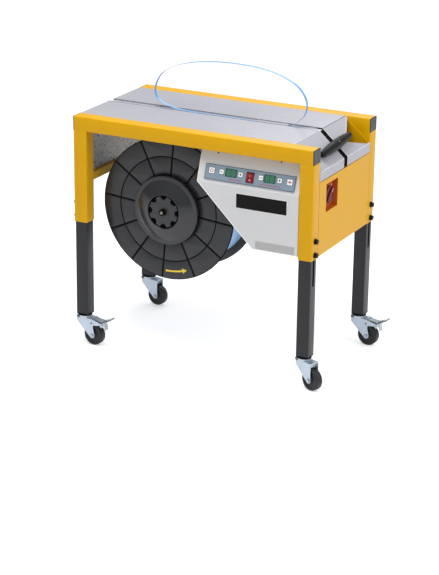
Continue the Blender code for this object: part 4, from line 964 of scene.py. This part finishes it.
# %% Forks and pedals
seal_profile = [(0.0180, -0.0052), (0.0236, -0.0052), (0.0236, -0.0012), (0.0180, -0.0012)]
nut_profile = [(0, 0.0004), (0.0062, 0.0004), (0.0062, 0.0010), (0.0046, 0.0018), (0, 0.0020)]
skirt_outline = [(0.080, -0.0210), (0.1140, -0.0045), (0.1140, -0.0005), (0.080, -0.0150)]
AXLE_REACH = 0.0196


def fork_frame(name, centre):
    """The frame at the swivel pin whose X points to the wheel and whose Z is up."""
    pin = Vector(JOINTS[f"{name}_caster_swivel"]["pos_m"])
    trail = Vector((centre.x - pin.x, centre.y - pin.y, 0)).normalized()
    turn = Matrix((trail, Vector((-trail.y, trail.x, 0)), Vector((0, 0, 1))))
    return Matrix.Translation(pin) @ turn.transposed().to_4x4()


def across_fork(radius, length, chamfer, sides, place):
    """A pin through the fork."""
    return moved(rod(radius, length, chamfer, sides), facing("-Y", Vector(place)))


for name in CASTERS:
    dress(f"{name}_caster_fork", ZINC, 0.0006)
    centre, axle = wheel_axle(name)
    fork_place = fork_frame(name, centre)
    fork = f"{name}_fork_body"
    show(f"{name}_race_seal", turned(seal_profile, 64), BLACK_AND_PAINTED_SHADE, fork, fork_place)
    # Bolt, rivet, skirt and axle ends take the darker zinc of painted shade.
    bolt = across_fork(0.0062, 0.0410, 0.0006, 28, (-0.0180, 0.0205, -0.0100))
    show(f"{name}_race_bolt", bolt, PAINTED_SHADE_ZINC, fork, fork_place)
    if f"{name}_brake_pedal" in NODES:
        dress(f"{name}_brake_pedal", PEDAL_PAINTED_SHADE_ZINC, 0.0008)
        rivet = across_fork(0.0034, 0.0404, 0.0005, 24, (0.037, 0.0202, -0.027))
        show(f"{name}_pedal_rivet", rivet, PAINTED_SHADE_ZINC, fork, fork_place)
        skirt = moved(flat([skirt_outline], 0.0240), facing("-Y", Vector((0, 0.0120, 0))))
        show(f"{name}_pedal_skirt", skirt, PAINTED_SHADE_ZINC, f"{name}_pedal_body", fork_place)
    for reach in (-1, 1):
        axle_place = Matrix.Translation(centre + axle * reach * AXLE_REACH) @ along(axle * reach)
        nut = turned(nut_profile, 32)
        show(f"{name}_axle_end_{reach}", nut, PAINTED_SHADE_ZINC, fork, axle_place)
print(len(CASTERS), "casters")

# %% [markdown]
# ## Reel flange
# The front flange is a moulded disc with a raised hub cone and a deep well in its middle.
# All of that is round, so it is one turned piece. Its near-black finish is painted shade in
# the grooves and the well, because the panels of the next cell cover everything but the grooves.

# %% Reel flange
FLANGE_RADIUS, HUB_RADIUS, FLANGE_THICK = 0.2480, 0.1195, 0.004
PANEL_DEPTH = 0.0012
reel_place = facing("-Y", at(*REEL))
sunk = -PANEL_DEPTH
front_profile = [(0.2478, sunk - 0.0004), (0.2474, sunk), (HUB_RADIUS, sunk), (HUB_RADIUS, 0.0145)]
front_profile += arc((0.1175, 0.0145), 0.0020, 0, 90, 5)
front_profile += [(0.1075, 0.0168)]
front_profile += arc((0.1063, 0.0188), 0.0020, -70, -140, 4)
front_profile += [(0.0625, 0.0331)]
front_profile += arc((0.0602, 0.0322), 0.0018, 50, 175, 6)
front_profile += [(0.0574, 0.0262), (0.0566, 0.0240), (0.0104, 0.0240), (0.0104, 0.0200)]
front_profile += [(0.059, 0.0200), (0.101, 0.0135), (0.1155, 0.0125), (0.1155, -FLANGE_THICK)]
front_profile += [(0.2476, -FLANGE_THICK), (FLANGE_RADIUS, -0.0036)]
front_look = turned(front_profile, 160)
show("reel_front_flange_look", front_look, BLACK_AND_PAINTED_SHADE, "reel", reel_place, "reel_front_flange")
print("flange", round(FLANGE_RADIUS * 2000), "mm across")

# %% [markdown]
# ## Panels of the flange
# Grooves divide the flange in twelve sectors and two rings. Cutting them out with Booleans
# would be slow and leave poor edges. It is easier to add what stands proud: twenty-four flat
# panels, 1.2 mm high, whose outlines stop half a groove short of each other.

# %% Panels of the flange
GROOVE, RING_GROOVE = 0.0068, 0.0042
SPLIT, PANEL_EDGE = 0.183, 0.2448
SECTORS, FIRST_GROOVE = 12, 25


def panel_outline(inner, outer, start, end):
    """One moulded panel between two radii, with half a groove left free all round."""
    low, high = inner + RING_GROOVE / 2, outer - RING_GROOVE / 2
    ease = [math.degrees(math.asin(GROOVE / 2 / r)) for r in (low, high)]
    outline = arc((0, 0), high, start + ease[1], end - ease[1], 13)
    return outline + arc((0, 0), low, end - ease[0], start + ease[0], 13)


outlines = []
for k in range(SECTORS):
    start = FIRST_GROOVE + 360 / SECTORS * k
    stop = start + 360 / SECTORS
    outlines.append(panel_outline(HUB_RADIUS, SPLIT, start, stop))
    outlines.append(panel_outline(SPLIT, PANEL_EDGE + RING_GROOVE / 2, start, stop))
panels = flat(outlines, PANEL_DEPTH + 0.0004, 0.0003)
panel_place = reel_place @ Matrix.Translation((0, 0, sunk - 0.0004))
show("reel_front_panels", panels, REEL_BLACK, "reel", panel_place)
print(len(outlines), "panels")

# %% [markdown]
# ## Hub
# The cone came off a polished core, so it shines more than the panels. One object could have
# two materials on its faces, but a thin turned skin over the cone keeps one material to one
# piece, which is simpler to repaint.

# %% Hub
skin = [(0.1198, -0.0010), (0.1198, 0.0145)]
skin += arc((0.1175, 0.0145), 0.0023, 0, 90, 5)
skin += [(0.1076, 0.0171)]
skin += arc((0.1063, 0.0188), 0.0017, -70, -140, 4)
skin += [(0.0627, 0.0334)]
skin += arc((0.0602, 0.0322), 0.0021, 50, 170, 6)
skin += [(0.0590, 0.0300), (0.1060, 0.0150), (0.1180, 0.0130), (0.1180, -0.0010)]
show("reel_hub_skin", turned(skin, 160), HUB_BLACK, "reel", reel_place)
print("hub stands", round(max(z for _, z in skin) * 1000, 1), "mm proud")

# %% [markdown]
# ## Rear flange and coil
# The rear flange carries the core that the strap is wound on, and the coil fills most of the
# space between the flanges. Both are turned. The coil stops 0.3 mm short of the flanges, so
# that no two faces lie in one plane, which would flicker.

# %% Rear flange and coil
REAR = -0.190
CORE_RADIUS, COIL_RADIUS = 0.0985, 0.2205
rear_profile = [(FLANGE_RADIUS, REAR - 0.0004), (0.2476, REAR), (CORE_RADIUS, REAR)]
rear_profile += [(CORE_RADIUS, -0.0043), (0.0942, -0.0043), (0.0942, REAR), (0.0203, REAR)]
rear_profile += [(0.0203, REAR + 0.040), (0.0103, REAR + 0.040), (0.0103, REAR - 0.004)]
rear_profile += [(0.2476, REAR - 0.004), (FLANGE_RADIUS, REAR - 0.0036)]
rear_look = turned(rear_profile, 160)
show("reel_rear_flange_look", rear_look, REEL_BLACK, "reel", reel_place, "reel_rear_flange")
coil_profile = [(0.2200, -0.0043), (COIL_RADIUS, -0.0050), (COIL_RADIUS, REAR + 0.0010)]
coil_profile += [(0.2200, REAR + 0.0003), (0.0990, REAR + 0.0003), (0.0990, -0.0043)]
show("strap_coil_look", turned(coil_profile, 160), COIL, "reel", reel_place, "strap_coil")
print("coil", round(COIL_RADIUS * 2000), "mm across")

# %% [markdown]
# ## Reel nut
# A nut with eight scallops for the fingers holds the reel. Scallops are arcs whose centres
# lie near the nut's rim, so the outline runs scallop, rim, scallop, and `flat` gives it
# thickness. In its middle the spindle's domed end shows, inside a dark ring.


# %% Reel nut
def nut_outline(lobes=8, outer=0.0540):
    """A round nut with a scallop centred on the line to each gap."""
    points = []
    for k in range(lobes):
        gap = 360 / lobes * k
        turn = math.radians(gap)
        centre = (0.0530 * math.cos(turn), 0.0530 * math.sin(turn))
        points += arc(centre, 0.0112, gap - 98, gap - 262, 13)
        points += arc((0, 0), outer, gap + 13.6, gap + 31.4, 7)
    return points


nut = flat([nut_outline(), arc((0, 0), 0.0108, 0, -350, 36)], 0.0090, 0.0009)
nut_place = reel_place @ Matrix.Translation((0, 0, 0.0243))
show("reel_nut_look", nut, PLASTIC, "reel", nut_place, "reel_nut")
ring_profile = [(0.0101, 0.0340), (0.0106, 0.0340), (0.0106, 0.0453)]
ring_profile += [(0, 0.0453), (0, 0.0451), (0.0101, 0.0451)]
show("spindle_ring", turned(ring_profile, 48), BLACK_AND_PAINTED_SHADE, "frame", reel_place)
dome = [(0, 0.0453), (0.0058, 0.0453)] + arc((0, 0.0453), 0.0058, 12, 78, 6) + [(0, 0.0511)]
show("spindle_end", turned(dome, 40), BRASS, "frame", reel_place)
print("nut outline of", len(nut_outline()), "points")

# %% [markdown]
# ## Turning arrow
# A yellow arrow printed on the flange shows which way the reel unwinds. It is a thin plate
# of ink that rides on the reel and turns with it. Its shaft follows the flange's rim, so the
# outline is two arcs with a head.


# %% Turning arrow
def arrow_outline(radius, width, start, end, head):
    """A curved arrow whose head is past the angle end."""
    tip = math.radians(end + head)
    barb = math.radians(end - 0.6)
    sides = (radius + width * 1.5, radius - width * 1.5)
    barbs = [(r * math.cos(barb), r * math.sin(barb)) for r in sides]
    point = (radius * math.cos(tip), radius * math.sin(tip))
    body = arc((0, 0), radius + width / 2, start, end, 12)
    return [*body, barbs[0], point, barbs[1], *arc((0, 0), radius - width / 2, end, start, 12)]


ARROW_RADIUS, INK_THICK = 0.2185, 0.0004
arrow = flat([arrow_outline(ARROW_RADIUS, 0.0062, -92, -74.5, 4.2)], INK_THICK)
arrow_place = reel_place @ Matrix.Translation((0, 0, 0.00005))
show("turning_arrow", arrow, INK_YELLOW, "reel", arrow_place)
print("arrow", round(ARROW_RADIUS * 1000), "mm from the reel's axis")

# %% [markdown]
# ## Slope grip
# A black grip stands across the slope on a short stem. It is a spindle, thick in the middle
# and blunt at the ends, so half of it is described and mirrored, then turned. Its thickness
# follows a power curve, which is flatter in the middle than an ellipse. The whole leans with
# the slope, and by 3 degrees in its own plane.

# %% Slope grip
GRIP_LIFT = 0.0182
normal = Vector((math.sin(SLOPE), 0, math.cos(SLOPE)))
grip_foot = on_slope(HALF_LENGTH - 0.025 - normal.x * GRIP_LIFT, -0.026)
grip_centre = grip_foot + normal * GRIP_LIFT
grip_profile = [(0, 0.1258)]
grip_profile += [(r, z) for z, r in arc((0.1150, 0.0), 0.0108, 8, 80, 8)]
for share in (0.85, 0.70, 0.55, 0.40, 0.25, 0.12, 0.0):
    grip_profile.append((0.0177 - 0.0067 * share**1.7, 0.1185 * share))
grip_profile += [(radius, -z) for radius, z in reversed(grip_profile[:-1])]
grip_turn = Matrix.Rotation(math.radians(3), 4, normal)
grip_place = Matrix.Translation(grip_centre) @ grip_turn @ facing("-Y", Vector())
show("slope_grip_look", turned(grip_profile, 64), GRIP, "frame", grip_place, "slope_grip")
stem = turned([(0, -0.0238), (0.0080, -0.0238), (0.0080, -0.0040), (0, -0.0040)], 40)
stem_place = Matrix.Translation(grip_centre + Vector((0, 0.026, 0))) @ along(normal)
show("slope_grip_stem", stem, GRIP, "frame", stem_place)
screw = [(0, 0.0170), (0.0026, 0.0170), (0.0026, 0.0179), (0.0016, 0.0183), (0, 0.0183)]
screw_place = Matrix.Translation(grip_centre) @ along(normal)
show("slope_grip_screw", turned(screw, 32), STEEL, "frame", screw_place)
print("grip", round(grip_profile[0][1] * 2000), "mm long")

# %% [markdown]
# ## Main switch
# The red rotary switch sits in a pocket, so that nobody hits it by accident. The dial is
# turned, with a raised rim and a bar to hold, and a white mark shows where it points. The
# bar and mark ride on the dial's body and turn with it.

# %% Main switch
dial_pin = Vector(JOINTS["main_switch_turn"]["pos_m"])
dial_place = facing("X", dial_pin) @ Matrix.Rotation(math.radians(-45), 4, "Z")
dial = [(0, 0.0003), (0.0285, 0.0003), (0.0295, 0.0013), (0.0295, 0.0062), (0.0283, 0.0074)]
dial += [(0.0235, 0.0075), (0.0225, 0.0062), (0.0, 0.0062)]
dial_body = "switch_dial_body"
show("main_switch_dial_look", turned(dial, 96), DARK_RED, dial_body, dial_place, "main_switch_dial")
bar = box((-0.0075, -0.0268, 0.0055), (0.0075, 0.0268, 0.0110), 0.0018)
show("main_switch_bar", bar, DARK_RED, dial_body, dial_place)
mark = flat([rounded(0.0009, 0.0070, 0.0008, (0, 0.0170))], 0.0003)
mark_place = dial_place @ Matrix.Translation((0, 0, 0.0110))
show("main_switch_mark", mark, WHITE, dial_body, mark_place)
print("dial", round(max(r for r, _ in dial) * 2000), "mm across")

# %% [markdown]
# ## Switch pocket
# The pocket's walls and back are bare yellow sheet in CAD. They lie in shade, which is painted
# on them as an orange cover. A sleeve and a plate with an opening, half a millimetre thick,
# do that without touching the sheet. Four plated screws hold the switch plate.

# %% Switch pocket
POCKET_HALF_Y, POCKET_HALF_Z, POCKET_DEPTH = 0.0459, 0.0474, 0.0198
pocket_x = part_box("end_panel")[1].x - POCKET_DEPTH
pocket_place = facing("X", Vector((pocket_x, dial_pin.y, dial_pin.z)))
shade_walls = flat(frame_of(POCKET_HALF_Y, POCKET_HALF_Z, 0.0006, 0.0005, 0.0004), 0.0196)
show("pocket_wall_painted_shade", shade_walls, PAINTED_SHADE_ORANGE, "frame", pocket_place)
low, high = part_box("main_switch_body")
plate_half = (high.y - low.y) / 2 - 0.0004
opening = rounded(plate_half, plate_half, 0.0004)[::-1]
pocket_back_painted_shade = flat([rounded(0.0458, 0.0473, 0.0006), opening], 0.0003)
show("pocket_back_painted_shade", pocket_back_painted_shade, PAINTED_SHADE_ORANGE, "frame", pocket_place)
middle = (low + high) / 2
for k, (sy, sz) in enumerate(((-1, -1), (-1, 1), (1, -1), (1, 1))):
    place = facing("X", Vector((high.x, middle.y + sy * 0.0265, middle.z + sz * 0.0265)))
    show(f"switch_screw_{k}", rod(0.0030, 0.0012, 0.0004, 24), ZINC, "frame", place)
print("pocket", round(POCKET_DEPTH * 1000, 1), "mm deep")

# %% [markdown]
# ## Control strip
# The controls sit on a strip of film on the tilted top of the cover. Instead of working the
# tilt out again, the strip's axes come from the CAD joints: a key is pressed straight into
# the strip, so its joint's axis is the strip's normal. `on_strip` then places a drawing by
# its distance from the strip's middle.

# %% Control strip
STRIP_HALF_X, STRIP_HALF_Y = 0.1623, 0.0253
stop_pin = Vector(JOINTS["stop_key_press"]["pos_m"])
feed_pin = Vector(JOINTS["feed_key_press"]["pos_m"])
out = -Vector(JOINTS["stop_key_press"]["axis"])
rise = Vector((0, out.z, -out.y))
axes = Matrix((Vector((1, 0, 0)), rise, out)).transposed().to_4x4()
strip_low, strip_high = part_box("control_panel")
strip_face = (stop_pin + feed_pin) / 2 - out * 0.001 - rise * 0.004
strip_face.x = (strip_low.x + strip_high.x) / 2
strip_place = Matrix.Translation(strip_face) @ axes


def on_strip(x, y, z=0.0):
    return strip_place @ Matrix.Translation((x, y, z))


border = flat(frame_of(STRIP_HALF_X, STRIP_HALF_Y, 0.0015, 0.0012, 0.0010), 0.0004)
show("strip_border", border, BLACK_INK_AND_SHADE, "frame", on_strip(0, 0))
print("strip leans back", round(math.degrees(math.asin(out.z)), 1), "degrees")

# %% [markdown]
# ## Displays
# Two windows show time and tension as two digits each. A digit is seven bars with pointed
# ends. A font could write them, but no font with bars comes with Blender, and a bar is only
# six points: `segments` lays three across and four upright. A red rule underlines each one.


# %% Displays
def bar_outline(start, stop, half):
    """A bar along X with pointed ends."""
    top = [(start, 0), (start + half, half), (stop - half, half)]
    return [*top, (stop, 0), (stop - half, -half), (start + half, -half)]


def segments(width, height, stroke):
    """The seven bars of one digit, each with pointed ends."""
    half_w, half_h, half_s = width / 2, height / 2, stroke / 2
    gap = half_s * 0.9
    bars = []
    for y in (-half_h, 0, half_h):
        bars.append([(x, y + v) for x, v in bar_outline(-half_w + gap, half_w - gap, half_s)])
    for x in (-half_w, half_w):
        for low in (-half_h, 0):
            outline = bar_outline(low + gap, low + half_h - gap, half_s)
            bars.append([(x - v, u) for u, v in outline])
    return bars


DISPLAY_Y, DIGIT_X = 0.0045, 0.0082
for name, x, shift, half in (("time", -0.0681, 0.0170, 0.0255), ("tension", 0.0714, 0.003, 0.0380)):
    window = flat([rounded(0.0212, 0.0137, 0.0012)], 0.0010, 0.0003)
    show(f"{name}_display", window, DISPLAY, "frame", on_strip(x, DISPLAY_Y))
    for k, dx in enumerate((-DIGIT_X, DIGIT_X)):
        digit = flat(segments(0.0095, 0.0165, 0.0021), 0.0003)
        show(f"{name}_digit_{k}", digit, SEGMENT, "frame", on_strip(x + dx, DISPLAY_Y, 0.0010))
    rule = flat([rounded(half, 0.0009, 0.0005)], 0.0002)
    show(f"{name}_rule", rule, INK_RED, "frame", on_strip(x + shift, -0.0165))
print("digits of", len(segments(0.0095, 0.0165, 0.0021)), "bars")

# %% [markdown]
# ## Keys
# Six film keys: a ring for stop, minus and plus for time and for tension, and an arrow for
# feed. A sign is a thin plate of ink that rides on its key's body and goes down with it. A
# plus drawn as two bars would overlap, so it is one outline, a corner repeated four times.


# %% Keys
def plus_outline(reach, half):
    corner = [(reach, half), (half, half), (half, reach)]
    points = []
    for k in range(4):
        turn = Matrix.Rotation(math.pi / 2 * k, 2)
        points += [tuple(turn @ Vector(point)) for point in corner]
    return points


minus = [rounded(0.0038, 0.0012, 0.0004)]
plus = [plus_outline(0.0038, 0.0012)]
ring = [arc((0, 0), 0.0060, 0, 352, 46), arc((0, 0), 0.0040, 0, -352, 46)]
upper = [(-0.0068, 0.0012), (-0.0008, 0.0012), (-0.0008, 0.0048), (0.0066, 0.0)]
feed = [upper + [(x, -y) for x, y in reversed(upper[:-1])]]
SIGNS = {
    "time_minus_key": (minus, BLACK_INK_AND_SHADE),
    "time_plus_key": (plus, BLACK_INK_AND_SHADE),
    "tension_minus_key": (minus, BLACK_INK_AND_SHADE),
    "tension_plus_key": (plus, BLACK_INK_AND_SHADE),
    "stop_key": (ring, INK_RED),
    "feed_key": (feed, INK_RED),
}
for name, (sign, ink) in SIGNS.items():
    place = Matrix.Translation(Vector(JOINTS[f"{name}_press"]["pos_m"])) @ axes
    dress(name, WHITE, 0.0004)
    half = (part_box(name)[1].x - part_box(name)[0].x) / 2
    # A black ring, 1 mm down round each key, is painted shade of the gap round the key.
    painted_shade_ring = flat(frame_of(half + 0.0013, half + 0.0013, 0.0006, 0.0010, 0.0003), 0.0002)
    sunk_place = place @ Matrix.Translation((0, 0, -0.0010))
    show(f"{name}_surround", painted_shade_ring, BLACK_INK_AND_SHADE, "frame", sunk_place)
    show(f"{name}_sign", flat(sign, 0.00015), ink, f"{name}_body", place)
print(len(SIGNS), "keys")

# %% [markdown]
# ## Power rocker
# The rocker is a shallow V of glossy red plastic that tips in a black frame. Its two faces
# carry a bar for on and a ring for off. The marks lie on those faces, so each is tilted like
# its face before it is put on the rocker.

# %% Power rocker
dress("power_rocker", RED, 0.0006)
rocker_low, rocker_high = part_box("power_rocker")
bezel_middle = ((rocker_low.x + rocker_high.x) / 2 - strip_face.x, -0.0008)
opening = rounded(0.0124, 0.0163, 0.0008, bezel_middle)[::-1]
bezel = flat([rounded(0.0142, 0.0182, 0.0016, bezel_middle), opening], 0.0012, 0.0003)
show("rocker_bezel", bezel, PLASTIC, "frame", on_strip(0, 0))
rocker_pin = Matrix.Translation(Vector(JOINTS["power_rocker_tilt"]["pos_m"]))
rocker_place = rocker_pin @ axes @ Matrix.Rotation(math.radians(12), 4, "X")
rocker_face = rocker_place @ Matrix.Translation((0, 0, 0.00455))
lean = math.atan2(0.0020, 0.0145)
on_mark = flat([rounded(0.0005, 0.0026, 0.0004, (0, 0.0075))], 0.0002)
ring = [arc((0, -0.0075), 0.0026, 0, 350, 30), arc((0, -0.0075), 0.0017, 0, -350, 30)]
for name, mark, sense in (("on", on_mark, 1), ("off", flat(ring, 0.0002), -1)):
    mark_place = rocker_face @ Matrix.Rotation(sense * lean, 4, "X")
    show(f"rocker_{name}_mark", mark, WHITE, "rocker_body", mark_place)
print("rocker faces lean", round(math.degrees(lean), 1), "degrees")

# %% [markdown]
# ## Painted highlights on the cover
# The cover's cut edges get pale lines of painted highlight, where they catch the light. They
# are the same fine rods as on the table, laid from corner to corner.

# %% Painted highlights on the cover
COVER_LEFT, COVER_FOLD, COVER_LOW = 0.0272, 0.660, SLEEVE_BOTTOM + 0.010
COVER_LEAN = 0.038
corners_of_cover = [
    at(COVER_LEFT, COVER_LEAN - HALF_WIDTH, RAIL_BOTTOM - 0.0005),
    at(COVER_LEFT, -HALF_WIDTH, COVER_FOLD),
    at(0.2323, -HALF_WIDTH, COVER_LOW),
    at(HALF_LENGTH - TUBE - 0.001, -HALF_WIDTH, COVER_LOW),
]
for k, (start, stop) in enumerate(zip(corners_of_cover, corners_of_cover[1:])):
    painted_line(f"cover_painted_highlight_{k}", start, stop, WHITE, 0.0011)
print(len(corners_of_cover) - 1, "cover edges")

# %% [markdown]
# ## Plates and screws on the cover
# A black plate with a white edge and a grey label are stuck on the cover. Both are bare.
# They are outlines a few tenths of a millimetre thick, which is what vinyl and thin metal
# plates are. Two black screws sit just under the rail.

# %% Plates and screws on the cover
PLATE_X, PLATE_Z = 0.262, 0.614
PLATE_HALF_X, PLATE_HALF_Z, PLATE_EDGE = 0.0910, 0.0240, 0.0015


def on_cover(x, z):
    return facing("-Y", at(x, -HALF_WIDTH, z))


rim_outline = rounded(PLATE_HALF_X + PLATE_EDGE, PLATE_HALF_Z + PLATE_EDGE, 0.0010)
plate_rim = flat([rim_outline], 0.0003)
show("brand_plate_border", plate_rim, WHITE, "frame", on_cover(PLATE_X, PLATE_Z))
plate = flat([rounded(PLATE_HALF_X, PLATE_HALF_Z, 0.0008)], 0.0005)
show("brand_plate", plate, BLACK_FILM, "frame", on_cover(PLATE_X, PLATE_Z))
label = flat([rounded(0.0702, 0.0135, 0.0008)], 0.0003)
show("label", label, GREY_FILM, "frame", on_cover(0.3133, 0.4735))
up_cover = Vector((0, 0.332, 0.943))
for k, (x, height) in enumerate(((0.088, 0.101), (0.3156, 0.1015))):
    place = Matrix.Translation(at(x, -HALF_WIDTH, COVER_FOLD) + up_cover * height) @ axes
    show(f"cover_screw_{k}", rod(0.0028, 0.0012, 0.0004, 24), SCREW_BLACK, "frame", place)
print("plate", round(PLATE_HALF_X * 2000), "by", round(PLATE_HALF_Z * 2000), "mm")

# %% [markdown]
# ## Studio floor
# The machine stands on white paper that runs out of sight. More light on the paper would
# make it white, but would bleach the machine too. So the paper keeps a plain pale colour and
# the Light Path node lets it glow only for the camera and in reflections. Its shadow stays,
# because the glow is less than full.

# %% Studio floor
FLOOR_HALF, GLOW = 400, 0.42
floor_bm = bmesh.new()
bmesh.ops.create_grid(floor_bm, x_segments=1, y_segments=1, size=FLOOR_HALF)
floor = bpy.data.objects.new("floor", mesh_of(floor_bm))
bpy.context.scene.collection.objects.link(floor)
# Seamless studio paper: matt and nearly white, with no pattern.
FLOOR = finish("studio_floor", "F2F2F3", 0.8, 2.0, 0.002, 0.005, 500)
tree = FLOOR.node_tree
rays = node(tree, "LightPath").outputs
seen = rays["Is Camera Ray"]
for kind in ("Is Glossy Ray", "Is Transmission Ray"):
    both = {0: seen, 1: rays[kind]}
    seen = node(tree, "Math", both, operation="ADD", use_clamp=True).outputs[0]
glow = node(tree, "Math", {0: seen, 1: GLOW}, operation="MULTIPLY").outputs[0]
shader = tree.nodes["Principled BSDF"]
shader.inputs["Emission Color"].default_value = (1, 1, 1, 1)
tree.links.new(glow, shader.inputs["Emission Strength"])
floor.data.materials.append(FLOOR)
print("floor", 2 * FLOOR_HALF, "m wide")

# %% [markdown]
# ## Studio world
# A studio is brighter above than near the floor, and here also brighter on the right. Without
# that, every side of the machine would be lit alike and its edges would vanish. The world's
# strength is therefore a product of two ramps, one over height and one from left to right.

# %% Studio world
world = bpy.data.worlds.new("studio")
bpy.context.scene.world = world
world.use_nodes = True
tree = world.node_tree
background = tree.nodes["Background"]
way = node(tree, "TexCoord").outputs["Generated"]
parts = node(tree, "SeparateXYZ", {"Vector": way}).outputs
rising = {"Value": parts["Z"], 1: 0.05, 2: 0.75, 3: 0.46, 4: 0.95}
height = node(tree, "MapRange", rising).outputs[0]
crossing = {"Value": parts["X"], 1: -0.9, 2: 0.7, 3: 0.55, 4: 1.0}
across = node(tree, "MapRange", crossing).outputs[0]
strength = node(tree, "Math", {0: height, 1: across}, operation="MULTIPLY").outputs[0]
tree.links.new(strength, background.inputs["Strength"])
background.inputs["Color"].default_value = (0.97, 0.98, 1.0, 1)
print("world of", len(tree.nodes), "nodes")

# %% [markdown]
# ## Studio lamps
# Three large round lamps stand for softboxes: the top one is the main light, the side one
# shows the right end and the back one draws a line along the rear edges. The larger a lamp,
# the softer its shadows, and these are almost twice as wide as the machine. The view
# transform is Standard, so that a colour comes out as it was written.


# %% Studio lamps
def soft_light(name, place, aim, size, watts):
    lamp = bpy.data.lights.new(name, "AREA")
    lamp.shape = "DISK"
    lamp.size = size
    lamp.energy = watts
    light = bpy.data.objects.new(name, lamp)
    bpy.context.scene.collection.objects.link(light)
    light.location = place
    light.rotation_mode = "QUATERNION"
    light.rotation_quaternion = (Vector(place) - Vector(aim)).to_track_quat("Z", "Y")


soft_light("top", (-0.1, -0.9, 3.1), (0, 0, 0.5), 1.6, 46)
soft_light("side", (2.9, -0.3, 2.5), (0, 0, 0.6), 1.6, 27)
soft_light("back", (-0.5, 2.3, 2.5), (0, 0, 0.6), 1.8, 16)
bpy.context.scene.view_settings.view_transform = "Standard"
print(len(bpy.data.lights), "lamps")
